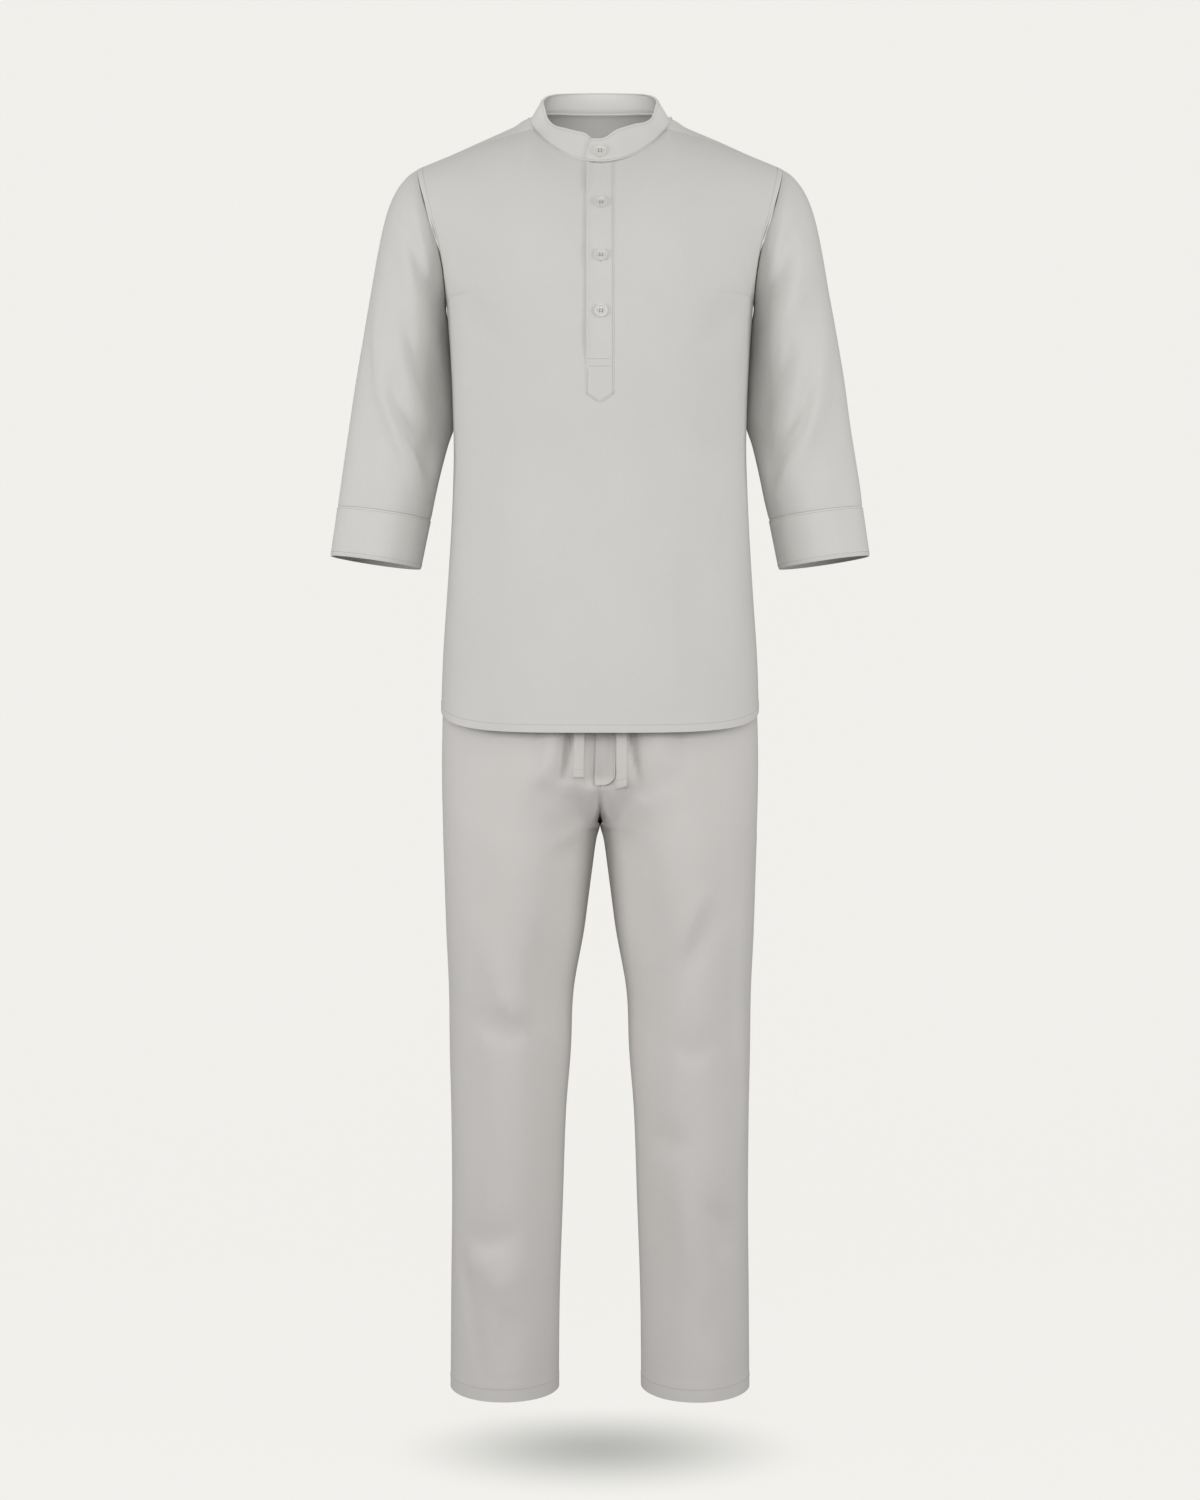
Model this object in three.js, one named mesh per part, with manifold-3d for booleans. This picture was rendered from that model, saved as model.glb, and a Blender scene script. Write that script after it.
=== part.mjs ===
// A kurta pajama set: a short kurta with a band collar, a half placket and cuffed sleeves over
// straight drawstring trousers, filled out as worn with nobody inside.
// Millimetres, +Z up, the front faces -Y, and the origin lies between the two side neck points.
import * as THREE from "three";
import { mergeVertices } from "three/addons/utils/BufferGeometryUtils.js";
import Module from "manifold-3d";

const wasm = await Module();
wasm.setup();

// Cloth and seams
const CLOTH = 1.2;
const BAND_CLOTH = 2;
const SEAM_GAP = 0.3;
const HALF_SEAM = SEAM_GAP / 2;
const LAP_GAP = 0.4;
const QUARTER_TURN = Math.PI / 2;
const LEFT = 1;
const RIGHT = -1;
const FRONT = -1;
const BACK = 1;

// Kurta body, from the underarm down: half width, depth to the front and to the back, and how
// square the section is (2 is an ellipse).
const UNDERARM_Z = -212;
const BODY_SECTIONS = [
  { z: -212, half: 183.5, front: 124, back: 118, square: 2.7 },
  { z: -280, half: 178.6, front: 124, back: 114, square: 2.6 },
  { z: -350, half: 175.8, front: 121, back: 110, square: 2.5 },
  { z: -400, half: 175.3, front: 119, back: 108, square: 2.4 },
  { z: -480, half: 178.2, front: 122, back: 112, square: 2.3 },
  { z: -560, half: 183.2, front: 128, back: 121, square: 2.25 },
  { z: -640, half: 188.3, front: 134, back: 130, square: 2.25 },
  { z: -730, half: 191, front: 138, back: 136, square: 2.25 },
];
const KURTA_SIDE_HEM_Z = -695;
const KURTA_HEM_DIP = 31.5;
const KURTA_HEM_ROUND = 1.8;

// Neck seam: a tilted egg-shaped loop, narrower in front.
const NECK = { half: 84, depth: 63, back: -5, side: 6, tilt: 41, sag: 19, egg: 0.1 };
const SHOULDER_SEAM_TURN = 0.24;
const SHOULDER_TIP = { x: 219, y: 0, z: -50 };
const SHOULDER_BOW = 3;
const NECK_SHARE = 0.36;

// Half width of the kurta at the armhole seam, by height.
const ARMHOLE_WIDTHS = [
  { z: -50, half: 219 },
  { z: -65, half: 216.5 },
  { z: -90, half: 210.5 },
  { z: -115, half: 203 },
  { z: -140, half: 194.5 },
  { z: -165, half: 188.5 },
  { z: -190, half: 185 },
  { z: -212, half: 183.5 },
];

// How a column of the front or back rises from the underarm to its top edge: u is the share of the
// way from the centre to the armhole, rise and spread lead the low end, depth and lift the top end.
const FRONT_RISE = [
  { u: 0, rise: 62, spread: 3, depth: 95, lift: -37 },
  { u: 0.36, rise: 44, spread: 6, depth: 88, lift: -27 },
  { u: 0.7, rise: 30, spread: 28, depth: 80, lift: -20 },
  { u: 0.88, rise: 14, spread: 52, depth: 77, lift: -14 },
  { u: 1, rise: 5, spread: 75, depth: 75, lift: -10 },
];
const BACK_RISE = [
  { u: 0, rise: 105, spread: 6, depth: 88, lift: -48 },
  { u: 0.2, rise: 98, spread: 8, depth: 80, lift: -10 },
  { u: 0.28, rise: 94, spread: 9, depth: 70, lift: 32 },
  { u: 0.36, rise: 90, spread: 10, depth: 62, lift: 80 },
  { u: 0.45, rise: 82, spread: 13, depth: 62, lift: 62 },
  { u: 0.7, rise: 52, spread: 28, depth: 62, lift: 34 },
  { u: 0.88, rise: 22, spread: 52, depth: 68, lift: 12 },
  { u: 1, rise: 5, spread: 75, depth: 75, lift: -10 },
];

// Sleeve rings: the outer and the inner point of each, its depth to the front or back, how far its
// inner side falls away from a round section, and how far back its inner edge lies.
const SLEEVE_RINGS = [
  { outerX: 231, outerZ: -60, innerX: 184.6, innerZ: -217, depth: 65, fall: 0, back: 0 },
  { outerX: 245, outerZ: -79, innerX: 183, innerZ: -229, depth: 69, fall: 0.15, back: 12 },
  { outerX: 256, outerZ: -106, innerX: 180.6, innerZ: -243, depth: 71, fall: 0.3, back: 24 },
  { outerX: 266, outerZ: -149, innerX: 179.2, innerZ: -262, depth: 72, fall: 0.45, back: 34 },
  { outerX: 276, outerZ: -206, innerX: 177, innerZ: -288, depth: 71, fall: 0.55, back: 34 },
  { outerX: 285.7, outerZ: -264, innerX: 175, innerZ: -320, depth: 69, fall: 0.6, back: 34 },
  { outerX: 293, outerZ: -307, innerX: 174.4, innerZ: -349, depth: 66, fall: 0.6, back: 30 },
  { outerX: 299.4, outerZ: -350, innerX: 182.6, innerZ: -379, depth: 63.5, fall: 0.5, back: 14 },
  { outerX: 306.6, outerZ: -398, innerX: 191.5, innerZ: -418, depth: 60.5, fall: 0.2, back: 0 },
  { outerX: 314.6, outerZ: -454.8, innerX: 203, innerZ: -470.4, depth: 57.5, fall: 0.18, back: 0 },
];
const CUFF_END = { outerX: 322.6, outerZ: -514, innerX: 215, innerZ: -529.5, depth: 56.5, fall: 0.14, back: 0 };

// Collar band: the loop of its upper edge, the heights of that edge by how far ahead of the side of
// the neck they are (-1 is the centre back), and the turn past the centre front at either end.
const COLLAR_TOP = { half: 69.5, depth: 59, back: -5, egg: 0.2 };
const COLLAR_TOP_HEIGHTS = [
  { ahead: -1, z: 54 },
  { ahead: -0.475, z: 45 },
  { ahead: 0, z: 31 },
  { ahead: 0.149, z: 22 },
  { ahead: 0.312, z: 6.5 },
  { ahead: 0.527, z: -4.3 },
  { ahead: 0.714, z: -9.7 },
  { ahead: 0.866, z: -15 },
  { ahead: 0.954, z: -19 },
  { ahead: 1, z: -26.5 },
];
const OVER_END_TURN = THREE.MathUtils.degToRad(102.2);
const UNDER_END_TURN = THREE.MathUtils.degToRad(-279);
const LAP_START_TURN = THREE.MathUtils.degToRad(48);
const LAP_END_TURN = THREE.MathUtils.degToRad(77.4);
const COLLAR_CORNER = 11;
const COLLAR_CLEAR = 0.9;

// Placket and buttons
const PLACKET = { half: 16, foot: -344, shoulder: -337, top: 3.2 };
const SLASH = { half: 1.2, foot: -262 };
const BUTTON = { radius: 7.4, thick: 3, hole: 1, spread: 1.5, rim: 1.3, round: 0.5, sink: 1 };
const PLACKET_BUTTON_ZS = [-108.5, -173, -238];
const COLLAR_BUTTON_RISE = 0.46;

// Trousers, one leg: half width, inner edge from the centre plane, depth to the front and back.
const CROTCH_Z = -840.7;
const LEG_SECTIONS = [
  { z: -600, outer: 157, open: 0, front: 111, back: 110 },
  { z: -640, outer: 173, open: 0, front: 113, back: 116 },
  { z: -670, outer: 184, open: 0, front: 115, back: 120 },
  { z: -690, outer: 187.8, open: 0.02, front: 116, back: 122 },
  { z: -710, outer: 188.9, open: 0.05, front: 117, back: 124.5 },
  { z: -740, outer: 189.6, open: 0.1, front: 118, back: 127 },
  { z: -780, outer: 190, open: 0.3, front: 117, back: 128 },
  { z: -806, outer: 189.4, open: 0.5, front: 113.5, back: 126 },
  { z: -822, outer: 188.8, open: 0.7, front: 111, back: 122 },
  { z: -833, outer: 188.5, open: 0.9, front: 109, back: 118 },
];
const LEG_TUBE = [
  { z: -840.7, outer: 188.3, inner: 0.3, front: 107.5, back: 116.5 },
  { z: -854.4, outer: 187.7, inner: 4.4, front: 105.2, back: 113.8 },
  { z: -890.4, outer: 186.5, inner: 9.4, front: 101, back: 108.5 },
  { z: -926.4, outer: 185.3, inner: 14.1, front: 97.5, back: 104.5 },
  { z: -962.4, outer: 184.1, inner: 18.9, front: 94, back: 100.5 },
  { z: -1034.4, outer: 180.8, inner: 31.5, front: 88, back: 93 },
  { z: -1106.4, outer: 179.8, inner: 34.8, front: 83, back: 87.5 },
  { z: -1178.4, outer: 178.1, inner: 40.5, front: 78.5, back: 82 },
  { z: -1286.4, outer: 177.2, inner: 44.4, front: 73, back: 75.5 },
  { z: -1394.4, outer: 178.2, inner: 48, front: 68, back: 69.5 },
  { z: -1507, outer: 179, inner: 49.2, front: 64, back: 65 },
];
const LEG_HEM_DIP = 8;
const WAIST_Z = -600;
const WAISTBAND_HEIGHT = 35;
const FLY = { left: -5, right: 17, foot: -788, corner: 14 };
const TAPE = { width: 12, thick: 1.4, top: -584, inset: 24.4, clear: 0.4, hang: 2 };
const TAPE_FEET = [
  { side: RIGHT, foot: -778 },
  { side: LEFT, foot: -790 },
];

// The largest folds, seen from the front: from one end to the other, half the width of the fold,
// and its height out of the cloth (a trough is below zero). They lie a little lower and shallower
// on the wearer's left than on the right.
const LEFT_FOLD_DROP = 12;
const LEFT_FOLD_SHARE = 0.8;
const SLEEVE_FOLDS = [
  { x1: 232, z1: -96, x2: 203, z2: -205, width: 15, height: -3.4 },
  { x1: 262, z1: -215, x2: 206, z2: -452, width: 15, height: 4 },
  { x1: 236, z1: -225, x2: 194, z2: -405, width: 14, height: -6 },
  { x1: 250, z1: -136, x2: 218, z2: -262, width: 14, height: 3 },
];
const KURTA_FOLDS = [
  { x1: 178, z1: -196, x2: 118, z2: -262, width: 15, height: -3 },
  { x1: 172, z1: -232, x2: 128, z2: -330, width: 17, height: 2.4 },
  { x1: 150, z1: -420, x2: 128, z2: -640, width: 22, height: 2.2 },
  { x1: 92, z1: -470, x2: 78, z2: -690, width: 20, height: -1.8 },
];
const TROUSER_FOLDS = [
  { x1: 36, z1: -690, x2: 49, z2: -806, width: 8, height: -4.5 },
  { x1: 54, z1: -690, x2: 68, z2: -790, width: 9, height: 3 },
  { x1: 74, z1: -690, x2: 84, z2: -762, width: 8, height: -3 },
  { x1: 112, z1: -690, x2: 118, z2: -752, width: 9, height: -2 },
  { x1: 22, z1: -815, x2: 66, z2: -905, width: 17, height: 3 },
  { x1: 160, z1: -1010, x2: 84, z2: -1094, width: 17, height: -4 },
  { x1: 58, z1: -1150, x2: 96, z2: -1220, width: 15, height: -3 },
  { x1: 164, z1: -1250, x2: 132, z2: -1370, width: 16, height: 3 },
];

// Grid sizes
const NECK_COLUMNS = 6;
const SHOULDER_COLUMNS = 7;
const LOWER_ROWS = 11;
const UPPER_ROWS = 9;
const SLEEVE_COLUMNS = 22;
const COLLAR_COLUMNS = 48;
const COLLAR_ROWS = 3;
const COLLAR_END_STEPS = [0, 0.014, 0.04, 0.08, 0.13, 0.2];
const PLACKET_ROWS = 16;
const TROUSER_COLUMNS = 10;
const TROUSER_SEAM_SHARE = 0.2;
const FLY_COLUMNS = 4;
const FLY_RISES = [0, 2, 6, 14, 40, 80, 130];
const TAPE_ROWS = 12;
const WAISTBAND_COLUMNS = 36;
const BUTTON_SIDES = 18;
const HOLE_SIDES = 8;

// Looks, as seen
const KURTA_CLOTH = { color: 0xd2d1cd, roughness: 0.9, metalness: 0 };
const TROUSER_CLOTH = { color: 0xc3c0bc, roughness: 0.9, metalness: 0 };
const BUTTON_RESIN = { color: 0xc9c7c2, roughness: 0.4, metalness: 0 };

const set = new THREE.Group();
const lerp = THREE.MathUtils.lerp;

function addPiece(name, geometry, look) {
  const mesh = new THREE.Mesh(geometry, new THREE.MeshStandardMaterial(look));
  mesh.name = name;
  set.add(mesh);
  return mesh;
}

// Reads one column of a table between its rows, on a smooth curve through them.
function along(rows, key, at, column) {
  const sorted = [...rows].sort((a, b) => a[key] - b[key]);
  const last = sorted.length - 1;
  if (at <= sorted[0][key]) return sorted[0][column];
  if (at >= sorted[last][key]) return sorted[last][column];
  let i = 0;
  while (sorted[i + 1][key] < at) i += 1;
  const slope = (k) => {
    const before = sorted[Math.max(k - 1, 0)];
    const after = sorted[Math.min(k + 1, last)];
    return (after[column] - before[column]) / (after[key] - before[key]);
  };
  const span = sorted[i + 1][key] - sorted[i][key];
  const t = (at - sorted[i][key]) / span;
  const rise = t * t * (3 - 2 * t);
  const leave = t * (1 - t) * (1 - t) * span * slope(i);
  const arrive = t * t * (t - 1) * span * slope(i + 1);
  return lerp(sorted[i][column], sorted[i + 1][column], rise) + leave + arrive;
}

// Height of the folds of a table at a point of the front view
function foldHeight(folds, point) {
  const left = point.x > 0;
  const x = Math.abs(point.x);
  const z = point.z + (left ? LEFT_FOLD_DROP : 0);
  const depth = left ? LEFT_FOLD_SHARE : 1;
  let height = 0;
  for (const fold of folds) {
    const runX = fold.x2 - fold.x1;
    const runZ = fold.z2 - fold.z1;
    const length = Math.hypot(runX, runZ);
    const share = ((x - fold.x1) * runX + (z - fold.z1) * runZ) / (length * length);
    if (share <= 0 || share >= 1) continue;
    const aside = Math.abs((x - fold.x1) * runZ - (z - fold.z1) * runX) / length;
    const fade = Math.sin(Math.PI * share);
    height += fold.height * fade * Math.exp(-((aside / fold.width) ** 2));
  }
  return height * depth;
}

// Outward directions of a grid of points. Rows run upwards, and the points of a row run from left
// to right as seen from outside.
function gridNormals(rows, round) {
  const count = rows[0].length;
  return rows.map((row, i) =>
    row.map((point, j) => {
      const right = round ? row[(j + 1) % count] : row[Math.min(j + 1, count - 1)];
      const left = round ? row[(j + count - 1) % count] : row[Math.max(j - 1, 0)];
      const above = rows[Math.min(i + 1, rows.length - 1)][j];
      const below = rows[Math.max(i - 1, 0)][j];
      const across = right.clone().sub(left);
      const up = above.clone().sub(below);
      return across.cross(up).normalize();
    }),
  );
}

// Moves each point of a grid outwards by a height worked out for it.
function raised(rows, heightAt, round = false) {
  const normals = gridNormals(rows, round);
  return rows.map((row, i) =>
    row.map((point, j) => point.clone().addScaledVector(normals[i][j], heightAt(point, i, j))),
  );
}

// A closed wall of cloth behind a grid of outer points. A round grid joins its last column to its
// first, and cells that cut() names are left out.
function wall(rows, thick, { round = false, cut = () => false, settle = () => {} } = {}) {
  const normals = gridNormals(rows, round);
  const count = rows[0].length;
  const vertices = [];
  for (const row of rows) for (const point of row) vertices.push(point.x, point.y, point.z);
  rows.forEach((row, i) =>
    row.forEach((point, j) => {
      const inner = point.clone().addScaledVector(normals[i][j], -thick);
      settle(inner, point, i, j);
      vertices.push(inner.x, inner.y, inner.z);
    }),
  );
  const behind = rows.length * count;
  const at = (i, j) => i * count + (j % count);
  const faces = [];
  const edges = new Map();
  const cells = round ? count : count - 1;
  for (let i = 0; i < rows.length - 1; i += 1) {
    for (let j = 0; j < cells; j += 1) {
      if (cut(i, j)) continue;
      const corners = [at(i, j), at(i, j + 1), at(i + 1, j + 1), at(i + 1, j)];
      const [a, b, c, d] = corners;
      const [aIn, bIn, cIn, dIn] = corners.map((corner) => corner + behind);
      faces.push(a, b, c, a, c, d, aIn, cIn, bIn, aIn, dIn, cIn);
      corners.forEach((from, k) => {
        const to = corners[(k + 1) % corners.length];
        if (edges.delete(`${to},${from}`)) return;
        edges.set(`${from},${to}`, [from, to]);
      });
    }
  }
  for (const [from, to] of edges.values()) {
    faces.push(to, from, from + behind, to, from + behind, to + behind);
  }
  const geometry = new THREE.BufferGeometry();
  geometry.setAttribute("position", new THREE.Float32BufferAttribute(vertices, 3));
  geometry.setIndex(faces);
  return geometry;
}

function spread(count) {
  return Array.from({ length: count + 1 }, (_, k) => k / count);
}

function bezier(t, start, startLead, endLead, end) {
  const s = 1 - t;
  return s * s * s * start + 3 * s * s * t * startLead + 3 * s * t * t * endLead + t * t * t * end;
}

// Kurta body: u runs from the centre (0) to the side seam or armhole (1), to either side.
function bodyPoint(u, z, face) {
  const across = Math.sin(Math.abs(u) * QUARTER_TURN);
  const square = along(BODY_SECTIONS, "z", z, "square");
  const depth = along(BODY_SECTIONS, "z", z, face === FRONT ? "front" : "back");
  const out = (1 - Math.min(across, 1) ** square) ** (1 / square);
  const x = Math.sign(u) * along(BODY_SECTIONS, "z", z, "half") * across;
  return new THREE.Vector3(x, face * (HALF_SEAM + depth * out), z);
}

function hemHeight(u) {
  const ahead = Math.cos(Math.abs(u) * QUARTER_TURN);
  return KURTA_SIDE_HEM_Z - KURTA_HEM_DIP * (1 - (1 - ahead) ** KURTA_HEM_ROUND);
}

// A point of the neck seam or of the collar's upper edge. Turn 0 is the wearer's left, a quarter
// turn is the centre front, and below 0 is the back.
function loopPoint(loop, turn, heightAt) {
  const ahead = Math.sin(turn);
  const narrow = 1 - loop.egg * Math.max(0, ahead);
  return new THREE.Vector3(
    loop.half * Math.cos(turn) * narrow,
    loop.back - loop.depth * ahead,
    heightAt(ahead),
  );
}

function neckHeight(ahead) {
  return NECK.side - NECK.tilt * ahead - NECK.sag * ahead * ahead;
}

function collarTopHeight(ahead) {
  return along(COLLAR_TOP_HEIGHTS, "ahead", ahead, "z");
}

function topEdge(u, face) {
  if (u <= NECK_SHARE) {
    const turn = lerp(-face * QUARTER_TURN, SHOULDER_SEAM_TURN, u / NECK_SHARE);
    return loopPoint(NECK, turn, neckHeight);
  }
  const share = (u - NECK_SHARE) / (1 - NECK_SHARE);
  const tip = new THREE.Vector3(SHOULDER_TIP.x, SHOULDER_TIP.y, SHOULDER_TIP.z);
  const point = loopPoint(NECK, SHOULDER_SEAM_TURN, neckHeight).lerp(tip, share);
  point.z += SHOULDER_BOW * Math.sin(Math.PI * share);
  point.y += face * HALF_SEAM;
  return point;
}

function armholeHalf(z) {
  return along(ARMHOLE_WIDTHS, "z", z, "half");
}

// Kurta above the underarm: v runs from the underarm (0) to the neck or shoulder seam (1).
function upperPoint(u, v, face) {
  const share = Math.abs(u);
  const low = bodyPoint(share, UNDERARM_Z, face);
  const high = topEdge(share, face);
  const rows = face === FRONT ? FRONT_RISE : BACK_RISE;
  const lowLeadY = low.y + face * along(rows, "u", share, "spread");
  const lowLeadZ = low.z + along(rows, "u", share, "rise");
  const highLeadY = face * along(rows, "u", share, "depth");
  const highLeadZ = high.z + along(rows, "u", share, "lift");
  const y = bezier(v, low.y, lowLeadY, highLeadY, high.y);
  const z = bezier(v, low.z, lowLeadZ, highLeadZ, high.z);
  const lowShare = low.x / armholeHalf(low.z);
  const highShare = high.x / armholeHalf(high.z);
  return new THREE.Vector3(Math.sign(u) * armholeHalf(z) * lerp(lowShare, highShare, v), y, z);
}

// Keeps the inner edge of a panel on its own side of the shoulder seam.
function besideSeam(rows, face) {
  return (inner, outer, i) => {
    if (i < rows.length - 1) return;
    inner.y = face * Math.max(face * inner.y, face * outer.y);
  };
}

// Front and back panels of the kurta
function kurtaGrid(shares, face) {
  const lower = spread(LOWER_ROWS).map((v) =>
    shares.map((u) => bodyPoint(u, lerp(hemHeight(u), UNDERARM_Z, v), face)),
  );
  const upper = spread(UPPER_ROWS)
    .slice(1)
    .map((v) => shares.map((u) => upperPoint(u, v, face)));
  return [...lower, ...upper];
}

function kurtaPanels() {
  const neckSteps = spread(NECK_COLUMNS).map((share) => lerp(0, NECK_SHARE, share));
  const shoulderSteps = spread(SHOULDER_COLUMNS).map((share) => lerp(NECK_SHARE, 1, share));
  const steps = [...neckSteps.slice(1), ...shoulderSteps.slice(1)];
  const slashShare = Math.asin(SLASH.half / BODY_SECTIONS[0].half) / QUARTER_TURN;
  const mirrored = (list) => [...list].reverse().map((u) => -u);
  const frontShares = [...mirrored(steps), -slashShare, slashShare, ...steps];
  const frontGrid = kurtaGrid(frontShares, FRONT);
  const frontRows = raised(frontGrid, (point) => foldHeight(KURTA_FOLDS, point));
  const slashCell = steps.length;
  const cut = (i, j) => j === slashCell && frontRows[i][j].z > SLASH.foot;
  const settleFront = besideSeam(frontRows, FRONT);
  addPiece("kurta_front", wall(frontRows, CLOTH, { cut, settle: settleFront }), KURTA_CLOTH);

  const tiny = 1e-6;
  const backShares = [...steps].reverse().concat(tiny, mirrored(steps).reverse());
  const backGrid = kurtaGrid(backShares, BACK);
  const backRows = raised(backGrid, (point) => foldHeight(KURTA_FOLDS, point));
  const settleBack = besideSeam(backRows, BACK);
  addPiece("kurta_back", wall(backRows, CLOTH, { settle: settleBack }), KURTA_CLOTH);
}

kurtaPanels();

// The armhole seam as a loop: turn 0 is the shoulder tip, a quarter turn is its foremost point and
// a half turn is the underarm.
function armholePoint(turn) {
  const face = turn <= Math.PI ? FRONT : BACK;
  const v = Math.abs(1 - turn / Math.PI);
  const point = upperPoint(1, v, face);
  point.x += SEAM_GAP;
  return point;
}

function ringPoint(ring, turn) {
  const innerShare = 0.4;
  const innerRound = 2.2;
  const edgeRound = 5;
  const out = (1 + Math.cos(turn)) / 2;
  const inwards = Math.max(0, 1 - out / innerShare) ** innerRound;
  return new THREE.Vector3(
    lerp(ring.innerX, ring.outerX, out),
    ring.back * (1 - out) ** edgeRound - ring.depth * Math.sin(turn) * (1 - ring.fall * inwards),
    lerp(ring.innerZ, ring.outerZ, out),
  );
}

function mixRings(a, b, share) {
  return Object.fromEntries(Object.keys(a).map((key) => [key, lerp(a[key], b[key], share)]));
}

// The points of one ring of a sleeve, in the order that a wall wants on that side.
function ringRow(side, pointAt) {
  return spread(SLEEVE_COLUMNS)
    .slice(0, -1)
    .map((share) => {
      const full = 2 * Math.PI;
      const point = pointAt(side === LEFT ? full * (1 - share) : full * share);
      point.x *= side;
      return point;
    });
}

// A sleeve hangs from its armhole to the cuff seam, and a cuff from there to the hem.
function sleeveAndCuff(side, sideName) {
  const rings = [...SLEEVE_RINGS].reverse();
  const lower = rings.map((ring) => ringRow(side, (turn) => ringPoint(ring, turn)));
  const plain = [...lower, ringRow(side, armholePoint)];
  const rows = raised(
    plain,
    (point, i) => {
      const atSeam = i === 0 || i >= plain.length - 2;
      const faceOn = Math.min(1, Math.abs(point.y) / SLEEVE_RINGS.at(-1).depth);
      return atSeam ? 0 : faceOn * foldHeight(SLEEVE_FOLDS, point);
    },
    true,
  );
  // The inner edge of the sleeve stays on its own side of the armhole seam.
  const settle = (inner, outer, i) => {
    if (i === rows.length - 1) inner.x = side * Math.max(side * inner.x, side * outer.x);
  };
  addPiece(`sleeve_${sideName}`, wall(rows, CLOTH, { round: true, settle }), KURTA_CLOTH);

  const seamRing = rings[0];
  const cuffLength = seamRing.outerZ - CUFF_END.outerZ;
  const cuffRows = [1, 1 / 2, SEAM_GAP / cuffLength].map((share) =>
    ringRow(side, (turn) => ringPoint(mixRings(seamRing, CUFF_END, share), turn)),
  );
  addPiece(`cuff_${sideName}`, wall(cuffRows, CLOTH, { round: true }), KURTA_CLOTH);
}

sleeveAndCuff(LEFT, "left");
sleeveAndCuff(RIGHT, "right");

// Collar band: its columns run from the over end at the centre front once round the neck to the
// under end, and the over end stands out by one thickness of band.
function collarPoint(turn, rise, endDistance) {
  const low = loopPoint(NECK, turn, neckHeight);
  const high = loopPoint(COLLAR_TOP, turn, collarTopHeight);
  const corner = Math.max(0, 1 - endDistance / COLLAR_CORNER);
  const cornerDrop = COLLAR_CORNER * (1 - Math.sqrt(1 - corner * corner));
  const height = low.distanceTo(high);
  const from = COLLAR_CLEAR / height;
  const point = low.lerp(high, lerp(from, 1 - cornerDrop / height, rise));
  const lapShare = THREE.MathUtils.smoothstep(turn, LAP_START_TURN, LAP_END_TURN);
  const lift = lapShare * (BAND_CLOTH + LAP_GAP);
  point.x += lift * Math.cos(turn);
  point.y -= lift * Math.sin(turn);
  return point;
}

function collarTurns() {
  const nearEnd = COLLAR_END_STEPS.map((step) => OVER_END_TURN - step);
  const rest = spread(COLLAR_COLUMNS).map((share) => lerp(nearEnd.at(-1), UNDER_END_TURN, share));
  return [...nearEnd.slice(0, -1), ...rest];
}

function collar() {
  const turns = collarTurns();
  const reach = (turn) => (OVER_END_TURN - turn) * (NECK.half - COLLAR_CORNER / 2);
  const rows = spread(COLLAR_ROWS).map((rise) =>
    turns.map((turn) => collarPoint(turn, rise, reach(turn))),
  );
  addPiece("collar", wall(rows, BAND_CLOTH), KURTA_CLOTH);
}

collar();

// Finds the point of the kurta's front that shows at x and z in the front view.
function onKurtaFront(x, z) {
  const passes = 6;
  const searchSteps = 40;
  const offCentre = 0.01;
  let u = Math.asin(Math.abs(x) / BODY_SECTIONS[0].half) / QUARTER_TURN;
  let point = bodyPoint(u, z, FRONT);
  if (z > UNDERARM_Z) {
    for (let pass = 0; pass < passes; pass += 1) {
      let low = 0;
      let high = 1;
      for (let k = 0; k < searchSteps; k += 1) {
        const middle = (low + high) / 2;
        if (upperPoint(u, middle, FRONT).z < z) low = middle;
        else high = middle;
      }
      point = upperPoint(u, low, FRONT);
      if (point.x > offCentre) u *= Math.abs(x) / point.x;
    }
  }
  return new THREE.Vector3(x, point.y, z);
}

function neckSeamHeight(x) {
  const ahead = Math.sqrt(1 - (x / (NECK.half * (1 - NECK.egg))) ** 2);
  return neckHeight(ahead);
}

// The upper strip of the half opening lies on the front and ends in a point.
function placket() {
  const columns = [-1, -0.5, 0, 0.5, 1].map((share) => share * PLACKET.half);
  const under = spread(PLACKET_ROWS).map((share) =>
    columns.map((x) => {
      const pointed = Math.abs(x) / PLACKET.half;
      const foot = lerp(PLACKET.foot, PLACKET.shoulder, pointed);
      return onKurtaFront(x, lerp(foot, neckSeamHeight(x) - PLACKET.top, share));
    }),
  );
  addPiece("placket", wall(raised(under, () => SEAM_GAP + CLOTH), CLOTH), KURTA_CLOTH);
}

placket();

// A round geometry with merged corners, as a solid that can be cut.
function solidOf(geometry) {
  geometry.deleteAttribute("normal");
  geometry.deleteAttribute("uv");
  const merged = mergeVertices(geometry, 1e-4);
  return new wasm.Manifold(
    new wasm.Mesh({
      numProp: 3,
      vertProperties: merged.attributes.position.array,
      triVerts: new Uint32Array(merged.index.array),
    }),
  );
}

function geometryOf(solid) {
  const mesh = solid.getMesh();
  const geometry = new THREE.BufferGeometry();
  geometry.setAttribute("position", new THREE.BufferAttribute(mesh.vertProperties, 3));
  geometry.setIndex(new THREE.BufferAttribute(mesh.triVerts, 1));
  return geometry;
}

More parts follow.
